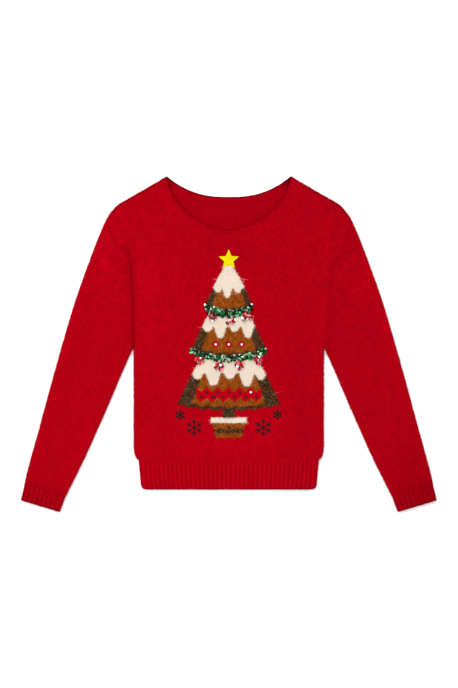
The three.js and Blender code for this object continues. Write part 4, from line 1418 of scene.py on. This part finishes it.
def neck_linking(material):
    """The raised row of loops where the neck band is linked to the back, seen inside the neck."""
    half = NECK["back"]["seam"][LOOP_CORNER:]
    line = np.vstack([half, (half * [-1, 1])[::-1]])
    run = run_along(line)
    at = np.arange(0, run[-1] - LOOP_END, LOOP_PITCH)
    ends = []
    for shift, up in ((0.0, LOOP_SLANT), (LOOP_RUN, -LOOP_SLANT)):
        x, y = places(line, run, at + shift)
        ends.append(np.stack([x, y + up, np.full(len(at), WALL + LOOP_LIFT)], 1))
    return spindles("neck_linking", *ends, 1.0, 0.7, material, RED)


# Pieces
body_wool = red_knit("red_body_wool", motif=True)
plain_wool = red_knit("red_sleeve_wool")
rib_wool = red_knit("red_rib_wool", wide=RIB_STITCH_W, depth=0.8)
nap_wool = yarn("red_nap", NO_GREEN, 0.4)
picture_wool = yarn("picture_yarn", (1.0, 0.8, 0.6, 1.0), sheen=0.04)
thread = yarn("sewing_thread", WHITE, 0.3)

front = body_panel("front_knit", "front", body_wool, picture_tint)
back = body_panel("back_knit", "back", plain_wool)
sleeves = [sleeve(f"{side}_sleeve_knit", m, plain_wool) for side, m in (("right", 1), ("left", -1))]
cuffs = [cuff(f"{side}_cuff_rib", m, rib_wool) for side, m in (("right", 1), ("left", -1))]
hem = hem_rib("hem_rib_knit", rib_wool)
band = neck_band("neck_band_rib", rib_wool)

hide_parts("front_panel")
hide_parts("back_panel")
for side, tube, end in zip(("right", "left"), sleeves, cuffs):
    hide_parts(f"{side}_sleeve")
    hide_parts(f"{side}_cuff")
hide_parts("hem_rib")
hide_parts("neck_band")

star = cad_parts["felt_star"]
star.data.materials.clear()
star.data.materials.append(felt())

DOWN = -math.pi / 2  # the way the nap lies
picture_stitches(picture_wool)
picture_fur(picture_wool)
sequins(tinted("sequin_foil", 0.22, 0.75))
beads(tinted("bead_glass", 0.15, 0.0, 0.35))
embroidery(thread)
star_stitches(thread)
seam_stitches(nap_wool)
neck_linking(nap_wool)

# tone on the band, cuffs, hem and edges is painted shade.
nap_on(front, 50000, 41, DOWN, nap_wool, off_picture=True)
nap_on(band, 1500, 42, DOWN, nap_wool, tone=0.88)
nap_on(hem, 1500, 43, DOWN, nap_wool)
for k, (tube, end, lay) in enumerate(zip(sleeves, cuffs, (DOWN + 0.3, DOWN - 0.3))):
    nap_on(tube, 20000, 50 + k, lay, nap_wool)
    nap_on(end, 400, 60 + k, lay, nap_wool, tone=CUFF_PAINTED_SHADE)
    edge_fuzz(tube, 5200, 70 + k, nap_wool)
    edge_fuzz(end, 350, 80 + k, nap_wool, 1.8, 0.6)
edge_fuzz(back, 3600, 90, nap_wool)
edge_fuzz(front, 3600, 91, nap_wool)
edge_fuzz(hem, 900, 92, nap_wool, 1.8, 0.65)
edge_fuzz(band, 900, 93, nap_wool, 2.4, 0.7)

# Stage
FLOOR_HALF = 150.0
FLOOR_Z = -0.0006
FLOOR_COLOUR = (0.93, 0.905, 0.89, 1.0)


def floor():
    mesh = bpy.data.meshes.new("floor")
    corners = [(x * FLOOR_HALF, y * FLOOR_HALF, FLOOR_Z) for x, y in ((-1, -1), (1, -1), (1, 1), (-1, 1))]
    mesh.from_pydata(corners, [], [(0, 1, 2, 3)])
    made = placed("floor", mesh)
    n = Nodes("pale_floor")
    n.paint(FLOOR_COLOUR)
    mesh.materials.append(n.finish(roughness=0.9, specular=0.1))


def sun(name, strength, angle, elevation, azimuth):
    """A soft distant light. azimuth is where it shines from, in degrees from +X."""
    data = bpy.data.lights.new(name, "SUN")
    data.energy = strength
    data.angle = math.radians(angle)
    placed(name, data).rotation_euler = (0, math.radians(90 - elevation), math.radians(azimuth))


def near_lamp(name, power, size, place):
    """A round soft lamp that looks at the middle of the garment."""
    data = bpy.data.lights.new(name, "AREA")
    data.shape = "DISK"
    data.size = size
    data.energy = power
    lamp = placed(name, data)
    lamp.location = place
    x, y, z = place
    lamp.rotation_euler = (0, math.acos(z / math.hypot(x, y, z)), math.atan2(y, x))


floor()
sun("key", 1.9, 34, 52, 98)
sun("fill", 0.9, 60, 62, -50)
near_lamp("left_lamp", 21.0, 1.8, (-1.1, 0.3, 1.6))

world = bpy.data.worlds.new("studio")
world.use_nodes = True
sky = world.node_tree.nodes["Background"].inputs
sky[0].default_value = WHITE
sky[1].default_value = 0.70
bpy.context.scene.world = world
bpy.context.scene.view_settings.view_transform = "Standard"

# Camera: straight above, so that the frame is 916 mm by 1376 mm on the floor
CAMERA_HEIGHT = 4.0
FRAME_LONG_SIDE = 1.376
SENSOR = 36.0
camera_data = bpy.data.cameras.new("camera")
camera_data.sensor_width = SENSOR
camera_data.lens = SENSOR * (CAMERA_HEIGHT - LAID_HEIGHT / 2 * MM) / FRAME_LONG_SIDE
camera = placed("camera", camera_data)
camera.location = (0.0005, 0.0, CAMERA_HEIGHT)
bpy.context.scene.camera = camera
